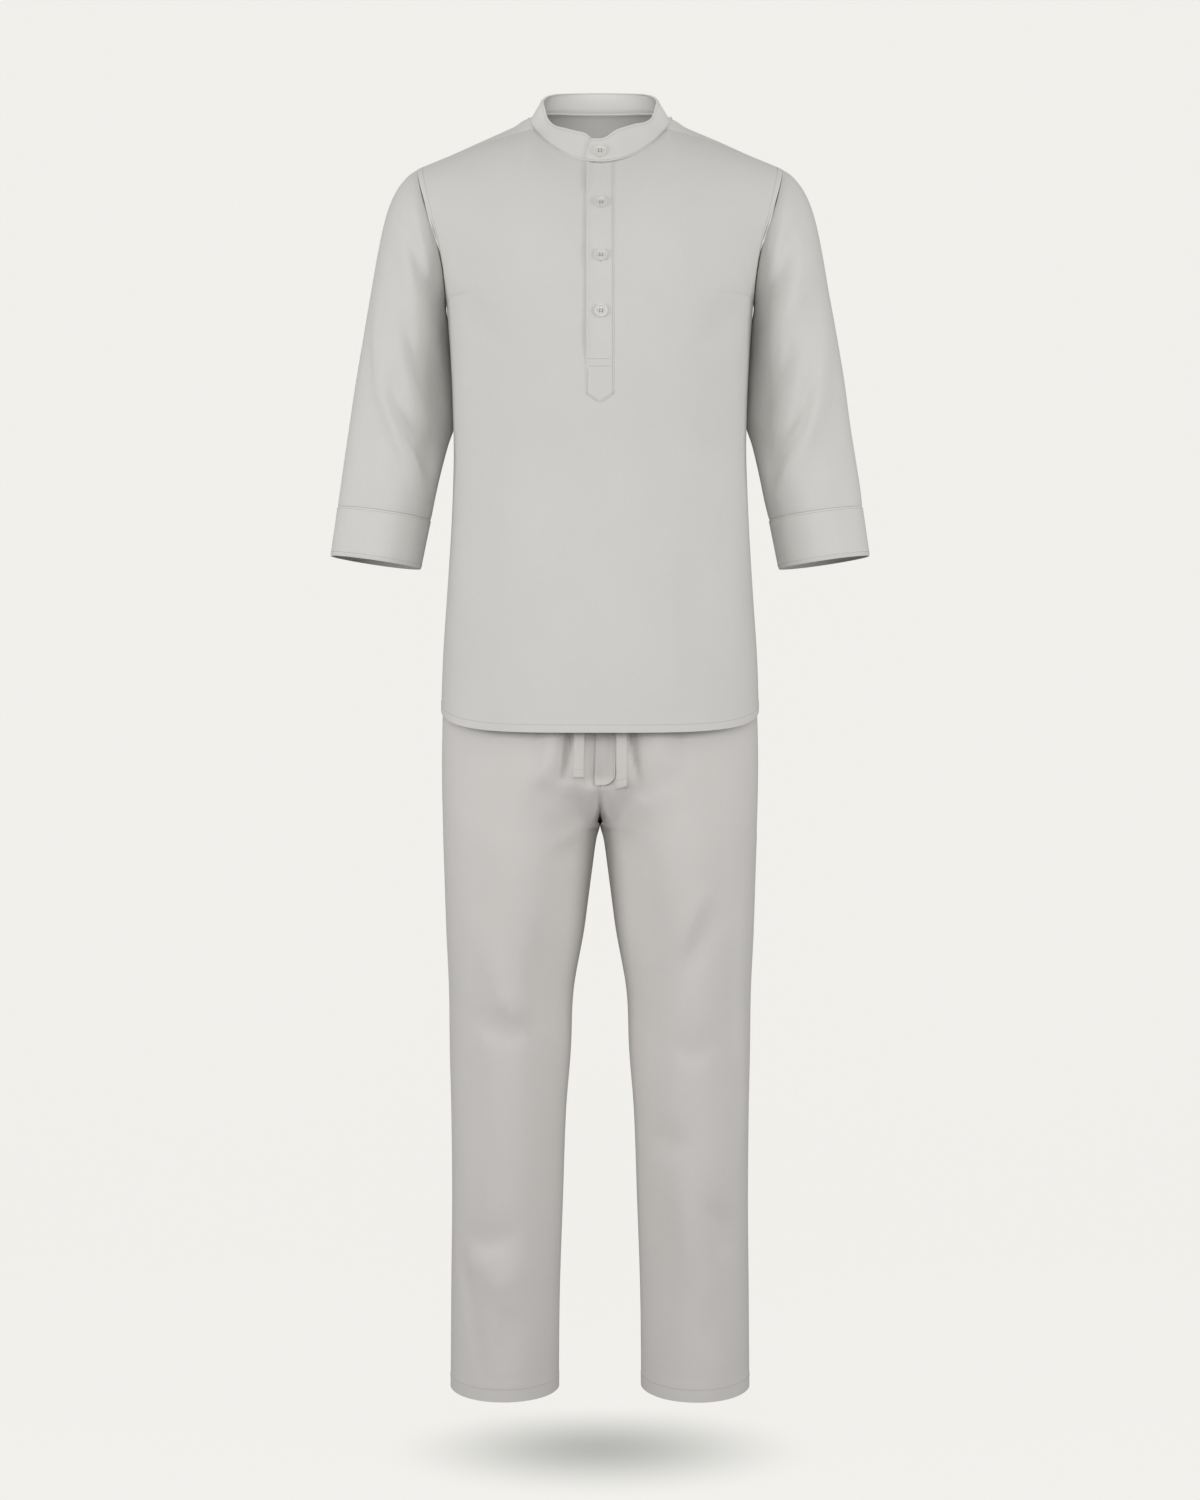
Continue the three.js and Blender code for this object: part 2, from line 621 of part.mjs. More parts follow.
// A shirt button: a disc with a raised rim, a sunk middle and four thread holes.
function buttonGeometry() {
  const { radius: edge, thick, round, sink } = BUTTON;
  const rimInside = edge - BUTTON.rim;
  const profile = [
    [0, 0],
    [edge - round, 0],
    [edge, round],
    [edge, thick - round],
    [edge - round, thick],
    [rimInside, thick],
    [rimInside - sink, thick - sink],
    [0, thick - sink],
  ].map(([radius, height]) => new THREE.Vector2(radius, height));
  let solid = solidOf(new THREE.LatheGeometry(profile, BUTTON_SIDES));
  for (const x of [-BUTTON.spread, BUTTON.spread]) {
    for (const z of [-BUTTON.spread, BUTTON.spread]) {
      const drill = new THREE.CylinderGeometry(
        BUTTON.hole,
        BUTTON.hole,
        3 * BUTTON.thick,
        HOLE_SIDES,
      );
      drill.translate(x, 0, z);
      solid = solid.subtract(solidOf(drill));
    }
  }
  return geometryOf(solid);
}

// Sets a button on the cloth, with its back along the outward direction there.
function seatButton(name, seat, outward) {
  const button = addPiece(name, buttonGeometry(), BUTTON_RESIN);
  button.position.copy(seat).addScaledVector(outward, SEAM_GAP);
  button.quaternion.setFromUnitVectors(new THREE.Vector3(0, 1, 0), outward);
}

function outwardOnCentre(below, above) {
  const up = above.clone().sub(below);
  return new THREE.Vector3(0, -up.z, up.y).normalize();
}

function buttons() {
  const probe = 3;
  const bandAt = (rise) => collarPoint(QUARTER_TURN, rise, COLLAR_CORNER);
  const bandOut = outwardOnCentre(bandAt(0), bandAt(1));
  seatButton("button_1", bandAt(COLLAR_BUTTON_RISE), bandOut);
  PLACKET_BUTTON_ZS.forEach((z, k) => {
    const outward = outwardOnCentre(onKurtaFront(0, z - probe), onKurtaFront(0, z + probe));
    const seat = onKurtaFront(0, z).addScaledVector(outward, SEAM_GAP + CLOTH);
    seatButton(`button_${k + 2}`, seat, outward);
  });
}

buttons();

// Section of one trouser leg, or of one half of the hip above the crotch: the middle of its round,
// its half width, and the turn at which it meets the inseam or the centre seam.
function legSection(z, face) {
  const depthName = face === FRONT ? "front" : "back";
  if (z > CROTCH_Z) {
    const outer = along(LEG_SECTIONS, "z", z, "outer");
    const open = along(LEG_SECTIONS, "z", z, "open");
    const half = outer / (1 + open);
    const middle = outer - half;
    const depth = along(LEG_SECTIONS, "z", z, depthName);
    return { middle, half, depth, last: Math.acos((HALF_SEAM - middle) / half) };
  }
  const outer = along(LEG_TUBE, "z", z, "outer");
  const inner = along(LEG_TUBE, "z", z, "inner");
  const depth = along(LEG_TUBE, "z", z, depthName);
  return { middle: (outer + inner) / 2, half: (outer - inner) / 2, depth, last: Math.PI };
}

function legPoint(section, turn, face) {
  return new THREE.Vector3(
    section.middle + section.half * Math.cos(turn),
    face * (HALF_SEAM + section.depth * Math.sin(turn)),
    section.z,
  );
}

function legHeights() {
  const knots = [...LEG_SECTIONS, ...LEG_TUBE].map((row) => row.z).reverse();
  const longestStep = 40;
  return knots.flatMap((z, i) => {
    if (i === knots.length - 1) return [z];
    const parts = Math.ceil((knots[i + 1] - z) / longestStep);
    return spread(parts)
      .slice(0, -1)
      .map((share) => lerp(z, knots[i + 1], share));
  });
}

// One trouser panel, from the side seam to the inseam and the centre seam.
function trouserPanel(side, face, name) {
  const hemTop = LEG_TUBE.at(-2).z;
  const hem = LEG_TUBE.at(-1).z;
  const shares = spread(TROUSER_COLUMNS);
  const seenLeftToRight = side === face ? shares : [...shares].reverse();
  const plain = legHeights().map((z) => {
    const section = { ...legSection(z, face), z };
    const dip = face === FRONT ? LEG_HEM_DIP * Math.max(0, (hemTop - z) / (hemTop - hem)) : 0;
    return seenLeftToRight.map((share) => {
      const turn = share * section.last;
      const point = legPoint(section, turn, face);
      point.x *= side;
      point.z -= dip * Math.sin(turn);
      return point;
    });
  });
  const rows = raised(plain, (point, i, j) => {
    const share = seenLeftToRight[j];
    const fromSeam = Math.min(1, Math.min(share, 1 - share) / TROUSER_SEAM_SHARE);
    return fromSeam * foldHeight(TROUSER_FOLDS, point);
  });
  // The inner edges stay on their own side of the side seam, the inseam and the centre seam.
  const settle = (inner, outer, i, j) => {
    const share = seenLeftToRight[j];
    if (share > 0 && share < 1) return;
    if (share === 1 && outer.z > CROTCH_Z) inner.x = side * Math.max(side * inner.x, side * outer.x);
    else inner.y = face * Math.max(face * inner.y, face * outer.y);
  };
  addPiece(name, wall(rows, CLOTH, { settle }), TROUSER_CLOTH);
}

trouserPanel(LEFT, FRONT, "trouser_front_left");
trouserPanel(RIGHT, FRONT, "trouser_front_right");
trouserPanel(LEFT, BACK, "trouser_back_left");
trouserPanel(RIGHT, BACK, "trouser_back_right");

function waistband() {
  const top = LEG_SECTIONS[0];
  const rows = [SEAM_GAP, WAISTBAND_HEIGHT].map((rise) =>
    spread(WAISTBAND_COLUMNS)
      .slice(0, -1)
      .map((share) => {
        const turn = 2 * Math.PI * share;
        const depth = Math.sin(turn) < 0 ? top.front : top.back;
        return new THREE.Vector3(
          top.outer * Math.cos(turn),
          depth * Math.sin(turn),
          WAIST_Z + rise,
        );
      }),
  );
  addPiece("waistband", wall(rows, BAND_CLOTH, { round: true }), TROUSER_CLOTH);
}

waistband();

// The trouser's front at x and z in the front view
function onTrouserFront(x, z) {
  const section = legSection(Math.min(z, WAIST_Z), FRONT);
  const across = Math.min(1, Math.abs((Math.abs(x) - section.middle) / section.half));
  const depth = section.depth * Math.sqrt(1 - across * across);
  return new THREE.Vector3(x, -HALF_SEAM - depth, z);
}

// The folded upper flap of the trouser's opening lies on the right front, over the centre seam.
function flyFlap() {
  const rises = [...FLY_RISES, WAIST_Z - SEAM_GAP - FLY.foot];
  const under = rises.map((rise) => {
    const corner = Math.max(0, 1 - rise / FLY.corner);
    const right = FLY.right - FLY.corner * (1 - Math.sqrt(1 - corner * corner));
    const columns = spread(FLY_COLUMNS).map((share) => lerp(FLY.left, right, share));
    return columns.map((x) => onTrouserFront(x, FLY.foot + rise));
  });
  const rows = raised(under, () => SEAM_GAP + LAP_GAP + CLOTH);
  addPiece("fly_flap", wall(rows, CLOTH), TROUSER_CLOTH);
}

flyFlap();

// The free ends of the drawstring hang from the waistband over the trouser's front.
function drawstring({ side, foot }, name) {
  const across = [-TAPE.width / 2, 0, TAPE.width / 2];
  const rows = spread(TAPE_ROWS).map((share) => {
    const z = lerp(foot, TAPE.top, share);
    const clear = TAPE.clear + TAPE.thick + TAPE.hang * Math.sin(Math.PI * share);
    return across.map((aside) => {
      const point = onTrouserFront(side * TAPE.inset + aside, z);
      point.y -= clear;
      return point;
    });
  });
  addPiece(name, wall(rows, TAPE.thick), TROUSER_CLOTH);
}

drawstring(TAPE_FEET[0], "drawstring_right");
drawstring(TAPE_FEET[1], "drawstring_left");

export default set;
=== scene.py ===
import math

import bpy
import numpy as np
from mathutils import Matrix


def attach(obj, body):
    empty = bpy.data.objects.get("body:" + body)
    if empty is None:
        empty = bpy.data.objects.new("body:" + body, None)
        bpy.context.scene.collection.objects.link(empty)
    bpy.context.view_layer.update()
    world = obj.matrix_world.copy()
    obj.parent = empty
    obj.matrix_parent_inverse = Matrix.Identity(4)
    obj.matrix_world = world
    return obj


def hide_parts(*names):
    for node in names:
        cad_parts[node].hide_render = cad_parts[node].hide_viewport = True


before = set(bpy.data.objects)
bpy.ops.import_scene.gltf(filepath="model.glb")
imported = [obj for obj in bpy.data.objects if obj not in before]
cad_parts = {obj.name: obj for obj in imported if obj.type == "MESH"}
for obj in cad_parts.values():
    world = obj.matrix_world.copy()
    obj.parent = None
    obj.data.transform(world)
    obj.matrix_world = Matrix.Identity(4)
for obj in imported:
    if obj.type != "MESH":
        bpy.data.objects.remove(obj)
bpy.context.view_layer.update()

# Camera
# The set is seen straight on from 3.5 m, level with its middle, on a 70 mm lens. The picture is
# 1200 by 1500, so its long side takes the whole 36 mm of the sensor.
camera_data = bpy.data.cameras.new("camera")
camera_data.lens = 70
camera_data.sensor_width = 36
camera_data.clip_end = 50
camera = bpy.data.objects.new("camera", camera_data)
camera.location = (0, -3.5, -0.7464)
camera.rotation_euler = (math.pi / 2, 0, 0)
bpy.context.collection.objects.link(camera)
bpy.context.scene.camera = camera

# Cloth of the trousers and the drawstring
# A fine plain weave of cotton, dyed warm grey. The threads are a bump on the piece's own UV map,
# which is in metres, and slubs and uneven dye vary its colour and gloss.
THREAD_PITCH = 0.00042
GLOSS_RANGE = 0.06


def fill(tree, node, **inputs):
    """Values or links for a node's inputs, named with _ for a space."""
    for name, value in inputs.items():
        socket = node.inputs[name.replace("_", " ")]
        if isinstance(value, bpy.types.NodeSocket):
            tree.links.new(value, socket)
        else:
            socket.default_value = value
    return node


def add_node(tree, kind, **inputs):
    return fill(tree, tree.nodes.new(f"ShaderNode{kind}"), **inputs)


def maths(tree, operation, *values):
    node = tree.nodes.new("ShaderNodeMath")
    node.operation = operation
    for socket, value in zip(node.inputs, values):
        if isinstance(value, bpy.types.NodeSocket):
            tree.links.new(value, socket)
        else:
            socket.default_value = value
    return node.outputs[0]


def weave_group():
    group = bpy.data.node_groups.new("plain_weave", "ShaderNodeTree")
    for name, kind in (("UV", "NodeSocketVector"), ("Pitch", "NodeSocketFloat")):
        group.interface.new_socket(name, in_out="INPUT", socket_type=kind)
    for name in ("Height", "Slub", "Dye"):
        group.interface.new_socket(name, in_out="OUTPUT", socket_type="NodeSocketFloat")
    source = group.nodes.new("NodeGroupInput")
    result = group.nodes.new("NodeGroupOutput")
    uv = source.outputs["UV"]

    def noise(scale, stretch, detail):
        place = add_node(group, "Mapping", Scale=(*stretch, 1), Vector=uv)
        cloud = add_node(group, "TexNoise", Scale=scale, Detail=detail,
                         Vector=place.outputs["Vector"])
        return cloud.outputs["Fac"]

    parts = add_node(group, "SeparateXYZ", Vector=uv)
    turns = maths(group, "DIVIDE", math.pi, source.outputs["Pitch"])
    warp, weft = (
        maths(group, "SINE", maths(group, "MULTIPLY", parts.outputs[axis], turns))
        for axis in "XY"
    )
    over = maths(group, "MULTIPLY", warp, weft)
    slubs = maths(group, "ADD", noise(900, (0.16, 1), 2), noise(900, (1, 0.12), 2))
    fill(
        group, result,
        Height=maths(group, "MULTIPLY_ADD", over, 0.5, 0.5),
        Slub=maths(group, "MULTIPLY", slubs, 0.5),
        Dye=noise(14, (1, 0.7), 3),
    )
    return group


plain_weave = weave_group()


def shade_between(tree, factor, deep, pale):
    """Base colour between two tones."""
    blend = tree.nodes.new("ShaderNodeMix")
    blend.data_type = "RGBA"
    fill(tree, blend, Factor=factor, A=(*deep, 1), B=(*pale, 1))
    fill(tree, tree.nodes["Principled BSDF"], Base_Color=blend.outputs["Result"])


def vary_gloss(tree, factor, smoothest, roughest):
    gloss = add_node(tree, "MapRange", Value=factor, To_Min=smoothest, To_Max=roughest)
    fill(tree, tree.nodes["Principled BSDF"], Roughness=gloss.outputs["Result"])


def object_noise(tree, scale, detail=2):
    place = tree.nodes.new("ShaderNodeTexCoord").outputs["Object"]
    return add_node(tree, "TexNoise", Scale=scale, Detail=detail, Vector=place).outputs["Fac"]


def cloth_material(name, pale, deep, roughness):
    material = bpy.data.materials.new(name)
    material.use_nodes = True
    tree = material.node_tree
    uv = tree.nodes.new("ShaderNodeUVMap")
    uv.uv_map = "UVMap"
    weave = tree.nodes.new("ShaderNodeGroup")
    weave.node_tree = plain_weave
    fill(tree, weave, UV=uv.outputs["UV"], Pitch=THREAD_PITCH)
    height, slub, dye = weave.outputs
    shade_between(
        tree, maths(tree, "MULTIPLY_ADD", slub, 0.6, maths(tree, "MULTIPLY", dye, 0.4)), deep, pale
    )
    vary_gloss(tree, slub, roughness - GLOSS_RANGE, roughness + GLOSS_RANGE)
    threads = add_node(tree, "Bump", Strength=0.35, Distance=0.00012, Height=height)
    slubs = add_node(tree, "Bump", Strength=0.3, Distance=0.00025, Height=slub,
                     Normal=threads.outputs["Normal"])
    fill(tree, tree.nodes["Principled BSDF"], Specular_IOR_Level=0.25, Sheen_Weight=0.25,
         Sheen_Roughness=0.6, Normal=slubs.outputs["Normal"])
    return material


cloth_looks = {
    "trouser_cloth": cloth_material("trouser_cotton", (0.70, 0.68, 0.66), (0.60, 0.58, 0.56), 0.86),
}
thread_look = bpy.data.materials.new("sewing_thread")
SHARP_EDGE = math.radians(62)
SIDES = {"left": 1, "right": -1}


def shares_with_edges(count, length, near=(0.5, 1.2, 2.2, 3.4)):
    """Steps from 0 to 1 with a few close ones at both ends, where a seam turns in."""
    middle = np.linspace(near[-1] / length, 1 - near[-1] / length, count)
    ends = np.array(near[:-1]) / length
    return np.concatenate([[0], ends, middle, 1 - ends[::-1], [1]])


def ramp(distance, reach):
    """0 at the start, 1 from the reach on."""
    return np.clip(distance / reach, 0, 1)


def bell(distance, reach):
    """1 at no distance, about a third at the reach."""
    return np.exp(-((distance / reach) ** 2))


def fade_past(distance, softness):
    """1 well before zero, 0 well past it."""
    return 1 / (1 + np.exp(distance / softness))


def table(columns, *rows):
    """Rows of numbers under named columns."""
    return [dict(zip(columns.split(), row)) for row in rows]


def smooth_between(keys, values, at):
    """Values, or whole rows of points, between those at the keys, on smooth curves."""
    deep = (...,) + (None,) * (values.ndim - 1)
    slopes = np.gradient(values, axis=0)
    slopes[1:-1] = (values[2:] - values[:-2]) / (keys[2:] - keys[:-2])[deep]
    slopes[0] /= keys[1] - keys[0]
    slopes[-1] /= keys[-1] - keys[-2]
    at = np.clip(np.asarray(at, float), keys[0], keys[-1])
    i = np.clip(np.searchsorted(keys, at, side="right") - 1, 0, len(keys) - 2)
    span = (keys[i + 1] - keys[i])[deep]
    t = (at - keys[i])[deep] / span
    bend = t * (1 - t) ** 2 * span * slopes[i] + t * t * (t - 1) * span * slopes[i + 1]
    return values[i] + (values[i + 1] - values[i]) * t * t * (3 - 2 * t) + bend


def read_curve(rows, at, column, key="z"):
    """One column of a table between its rows."""
    keys, values = np.array(sorted((row[key], row[column]) for row in rows), float).T
    return smooth_between(keys, values, at)


def fold_height(folds, x, z):
    """Height of folds at points of the front view: each runs along its own line of (x, z)
    points, fades at both ends, and is half as wide again on its left as it runs."""
    height = np.zeros(np.broadcast(x, z).shape)
    for line, width, depth in folds:
        line = np.array(line, float)
        pieces = np.diff(line, axis=0)
        lengths = np.hypot(pieces[:, 0], pieces[:, 1])
        starts = np.concatenate([[0], np.cumsum(lengths)])
        near = np.full(height.shape, 1e9)
        share = np.zeros(height.shape)
        side = np.ones(height.shape)
        for (x0, z0), (dx, dz), length, start in zip(line, pieces, lengths, starts):
            t = np.clip(((x - x0) * dx + (z - z0) * dz) / length ** 2, 0, 1)
            gap = np.hypot(x - x0 - t * dx, z - z0 - t * dz)
            closer = gap < near
            near = np.where(closer, gap, near)
            share = np.where(closer, (start + t * length) / starts[-1], share)
            cross = (x - x0) * dz - (z - z0) * dx
            side = np.where(closer, np.where(cross > 0, 1.0, 1.5), side)
        fade = np.sin(np.pi * (0.04 + 0.92 * share)) ** 0.8
        height += depth * fade * bell(near, width * side)
    return height


def soft_waves(x, z, seed, size, amount, count=14):
    """Slow, uneven waves of cloth that hangs free."""
    chance = np.random.default_rng(seed)
    total = np.zeros(np.broadcast(x, z).shape)
    for _ in range(count):
        angle = chance.uniform(0, 2 * np.pi)
        reach = size * chance.uniform(0.6, 1.7)
        phase = chance.uniform(0, 2 * np.pi)
        run = x * np.cos(angle) + 0.55 * z * np.sin(angle)
        total += np.sin(2 * np.pi * run / reach + phase)
    return amount * total / count ** 0.5


def unit(vectors):
    return vectors / np.linalg.norm(vectors, axis=-1, keepdims=True)


def grid_normals(rows, round_grid=False):
    if round_grid:
        across = np.roll(rows, -1, 1) - np.roll(rows, 1, 1)
    else:
        across = np.gradient(rows, axis=1)
    up = np.gradient(rows, axis=0)
    return unit(np.cross(across, up))


def raised(rows, height, round_grid=False):
    return rows + grid_normals(rows, round_grid) * np.asarray(height)[..., None]


def seam_dip(distance, depth=0.55, reach=2.6):
    """How far cloth turns in beside a seam."""
    return -depth * bell(distance, reach)


def run_along(points):
    """How far each point of a line is from its first."""
    return np.concatenate([[0], np.cumsum(np.linalg.norm(np.diff(points, axis=0), axis=-1))])


def from_ends(rows):
    """How far each point of a grid is from its first and from its last row, along the cloth."""
    run = np.linalg.norm(np.diff(rows, axis=0), axis=2)
    from_first = np.pad(np.cumsum(run, 0), ((1, 0), (0, 0)))
    from_last = np.pad(np.cumsum(run[::-1], 0), ((1, 0), (0, 0)))[::-1]
    return from_first, from_last


def place_piece(name, mesh):
    piece = bpy.data.objects.new(name, mesh)
    bpy.context.collection.objects.link(piece)
    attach(piece, "root")
    return piece


def shell_faces(kept, round_grid):
    """Rows, columns and layers of the corners of a shell's faces: both sides, then the edges."""
    i, j = np.indices(kept.shape)
    shown = np.pad(kept, 1)
    if round_grid:
        shown[1:-1, 0] = kept[:, -1]
        shown[1:-1, -1] = kept[:, 0]
    around = [(i, j), (i, j + 1), (i + 1, j + 1), (i + 1, j)]
    beside = [shown[:-2, 1:-1], shown[1:-1, 2:], shown[2:, 1:-1], shown[1:-1, :-2]]
    cell_rows = np.stack([a[kept] for a, _ in around], 1)
    cell_columns = np.stack([b[kept] for _, b in around], 1)
    outside = np.zeros_like(cell_rows)
    quads = [(cell_rows, cell_columns, outside)]
    quads.append((cell_rows[:, ::-1], cell_columns[:, ::-1], outside + 1))
    for k in range(4):
        edge = kept & ~beside[k]
        here, there = ([part[edge] for part in around[n % 4]] for n in (k, k + 1))
        edge_rows, edge_columns = (
            np.stack([there[n], here[n], here[n], there[n]], 1) for n in range(2)
        )
        quads.append((edge_rows, edge_columns, np.tile([0, 0, 1, 1], (len(edge_rows), 1))))
    return [np.concatenate(part) for part in zip(*quads)]


def cloth_map(rows, round_grid):
    """How far each point lies across the cloth from its middle and up it, in metres."""
    loop = np.concatenate([rows, rows[:, :1]], 1) if round_grid else rows
    across = from_ends(loop.transpose(1, 0, 2))[0].T
    return np.stack([across - across[:, -1:] / 2, from_ends(loop)[0]], 2) / 1000


def sew_shell(name, rows, thick, slot, round_grid=False, kept=None):
    """A closed wall of cloth behind a grid of outer points, in millimetres, as a finished piece."""
    count_z, count_x = rows.shape[:2]
    inner = raised(rows, -np.asarray(thick), round_grid)
    corners = np.concatenate([rows.reshape(-1, 3), inner.reshape(-1, 3)]) / 1000
    if kept is None:
        kept = np.ones((count_z - 1, count_x if round_grid else count_x - 1), bool)
    at_row, at_column, layer = shell_faces(kept, round_grid)
    faces = at_row * count_x + at_column % count_x + layer * count_z * count_x
    mesh = bpy.data.meshes.new(name)
    mesh.from_pydata(corners.tolist(), [], faces.tolist())
    flat = cloth_map(rows, round_grid)[at_row, at_column].astype(np.float32)
    mesh.uv_layers.new(name="UVMap").data.foreach_set("uv", flat.ravel())
    mesh.shade_smooth()
    mesh.set_sharp_from_angle(angle=SHARP_EDGE)
    mesh.materials.append(cloth_looks[slot])
    mesh.update()
    return place_piece(name, mesh)


# Trouser leg and hip sections, one side: outer edge, how far the half leg is open at the crotch or
# its inner edge, and the depths to the front and to the back. The drawstring lies on them too.
CROTCH_Z = -840.7
WAIST_Z = -600
HALF_SEAM = 0.15
HIP_SECTIONS = table(
    "z outer open front back",
    (-600, 157, 0, 111, 110),
    (-640, 173, 0, 113, 116),
    (-670, 184, 0, 115, 120),
    (-690, 187.8, 0.02, 116, 122),
    (-710, 188.9, 0.05, 117, 124.5),
    (-740, 189.6, 0.1, 118, 127),
    (-780, 190, 0.3, 117, 128),
    (-806, 189.4, 0.5, 113.5, 126),
    (-822, 188.8, 0.7, 111, 122),
    (-833, 188.5, 0.9, 109, 118),
)
LEG_TUBE = table(
    "z outer inner front back",
    (-840.7, 188.3, 0.3, 107.5, 116.5),
    (-854.4, 187.7, 4.4, 105.2, 113.8),
    (-890.4, 186.5, 9.4, 101, 108.5),
    (-926.4, 185.3, 14.1, 97.5, 104.5),
    (-962.4, 184.1, 18.9, 94, 100.5),
    (-1034.4, 180.8, 31.5, 88, 93),
    (-1106.4, 179.8, 34.8, 83, 87.5),
    (-1178.4, 178.1, 40.5, 78.5, 82),
    (-1286.4, 177.2, 44.4, 73, 75.5),
    (-1394.4, 178.2, 48, 68, 69.5),
    (-1507, 179, 49.2, 64, 65),
)


def leg_section(z, facing):
    """Middle, half width and depth of a leg at each height, and the turn where its seam lies."""
    hip = z > CROTCH_Z
    outer = read_curve(HIP_SECTIONS, z, "outer")
    half = outer / (1 + read_curve(HIP_SECTIONS, z, "open"))
    middle = outer - half
    tube_outer = read_curve(LEG_TUBE, z, "outer")
    tube_inner = read_curve(LEG_TUBE, z, "inner")
    depth = np.where(hip, read_curve(HIP_SECTIONS, z, facing), read_curve(LEG_TUBE, z, facing))
    last = np.arccos(np.clip((HALF_SEAM - middle) / half, -1, 1))
    middle = np.where(hip, middle, (tube_outer + tube_inner) / 2)
    half = np.where(hip, half, (tube_outer - tube_inner) / 2)
    return middle, half, depth, np.where(hip, last, np.pi)


# Folds of the trousers' front: gathers below the drawstring, drags from the crotch, and bends at
# the knees. Each is its line, half its width and its height, a trough below zero.
FRONT_FOLDS = [
    ([(-33, -690), (-36, -735), (-41, -765), (-47, -786)], 6.5, -10),
    ([(32, -690), (35, -737), (41, -767), (49, -796)], 6.5, -10),
    ([(-68, -690), (-73, -741), (-82, -772)], 6, -2.6),
    ([(90, -690), (93, -737), (102, -765)], 6, -2.6),
    ([(-118, -690), (-123, -735), (-128, -756)], 7, -1.5),
    ([(-54, -700), (-62, -758), (-82, -791), (-89, -808)], 10, 3.8),
    ([(60, -700), (70, -749), (84, -776)], 11, 3.8),
    ([(0, -792), (0, -842)], 5.5, -4.5),
    ([(-9, -812), (-35, -806), (-64, -795), (-92, -789)], 12, -2.2),
    ([(-7, -819), (-20, -833), (-35, -846), (-52, -857)], 7, 2.4),
    ([(-14, -841), (-31, -862), (-56, -885)], 10, -1.6),
    ([(8, -819), (25, -833), (44, -845)], 8, 1.8),
    ([(10, -812), (39, -802), (66, -788), (94, -778)], 12, -2),
    ([(16, -846), (34, -867), (62, -888)], 11, -1.4),
    ([(-26, -863), (-47, -927), (-61, -991), (-64, -1055)], 16, -2.5),
    ([(30, -863), (46, -927), (60, -1000)], 16, -2.2),
    ([(-149, -890), (-154, -980), (-156, -1055)], 16, 2),
    ([(-152, -930), (-134, -985), (-104, -1052)], 15, 2.6),
    ([(-146, -1052), (-130, -1070), (-108, -1082), (-82, -1074)], 14, -2.8),
    ([(-70, -960), (-78, -1016), (-72, -1080), (-62, -1150)], 12, -2.8),
    ([(-122, -1030), (-102, -1052), (-84, -1044)], 13, 1.8),
    ([(-160, -1100), (-150, -1160), (-152, -1220)], 14, -1.8),
    ([(134, -922), (116, -968), (98, -1016)], 11, -3.4),
    ([(121, -906), (105, -950), (92, -984)], 10, 2.6),
    ([(163, -940), (164, -1010), (168, -1080), (171, -1150), (167, -1240)], 5, 2.6),
    ([(153, -978), (154, -1040), (158, -1104)], 7, -2.6),
    ([(84, -1092), (112, -1104), (140, -1084)], 15, -2),
    ([(62, -1190), (84, -1212), (110, -1204)], 15, -2),
    ([(126, -1278), (142, -1306), (148, -1346)], 10, -3),
    ([(-166, -1326), (-158, -1380), (-146, -1450), (-142, -1480)], 6, -2.8),
    ([(-160, -1316), (-132, -1330), (-98, -1312)], 13, -2.5),
    ([(-154, -1340), (-132, -1362), (-116, -1392)], 16, 2.8),
    ([(-96, -1338), (-110, -1372), (-120, -1410)], 12, 1.6),
    ([(-104, -1400), (-110, -1440), (-116, -1478)], 12, -1.8),
    ([(60, -1254), (72, -1330), (70, -1420)], 13, -2.2),
    ([(96, -1230), (100, -1300), (106, -1372)], 14, 2.2),
    ([(132, -1390), (128, -1430), (134, -1474)], 11, -1.6),
]


# Drawstring
# A flat woven cotton tape, 12 mm wide. Its two free ends come out of the tunnel band at the centre
# front and hang over the trousers, and each is turned up once and stitched across its end.
TAPE_WIDTH = 12
TAPE_THICK = 1.4
TAPE_TOP = -584
TAPE_INSET = 24.4
TAPE_CLEAR = 0.4
TAPE_HANG = 2
TAPE_TURN_UP = 9.5


def on_trouser_front(x, z):
    """The plain front of the trousers at x and z in the front view, without its folds."""
    middle, half, depth, _ = leg_section(np.minimum(z, WAIST_Z), "front")
    across = np.clip(np.abs((np.abs(x) - middle) / half), 0, 1)
    return -HALF_SEAM - depth * np.sqrt(1 - across * across)


def drawstring_end(name, side, foot, slant, node):
    share = np.concatenate([[0, 0.006, 0.014], np.linspace(0.03, 1, 60)])
    aside = np.array([-1, -0.93, -0.72, -0.36, 0, 0.36, 0.72, 0.93, 1])
    z = foot + share * (TAPE_TOP - foot)
    doubled = z - foot < TAPE_TURN_UP
    width = TAPE_WIDTH / 2 * (1 + 0.05 * doubled)
    x = side * TAPE_INSET + width[:, None] * aside + 0.8 * np.sin(z / 31 + side)[:, None]
    z = z[:, None] + slant * aside * np.clip(1 - share[:, None] * 12, 0, 1)
    clear = TAPE_CLEAR + TAPE_THICK + TAPE_HANG * np.sin(np.pi * share)
    y = on_trouser_front(x, z) - clear[:, None]
    y = y + 0.45 * np.abs(aside) ** 6 - 0.5 * doubled[:, None]
    y = y - 0.25 * np.cos(z / 13 + side) * np.sin(np.pi * share)[:, None]
    rows = np.stack([x, y, z], 2)
    tape = sew_shell(name, rows, TAPE_THICK, "trouser_cloth")
    middle = np.concatenate([rows[::4, 4], rows[-1:, 4]])[::-1]
    middle[:, 1] += TAPE_THICK / 2
    middle = middle / 1000
    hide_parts(node)
    return rows


tape_right = drawstring_end("drawstring_end_right", -1, -778, 0, "drawstring_right")
tape_left = drawstring_end("drawstring_end_left", 1, -790, 1.6, "drawstring_left")

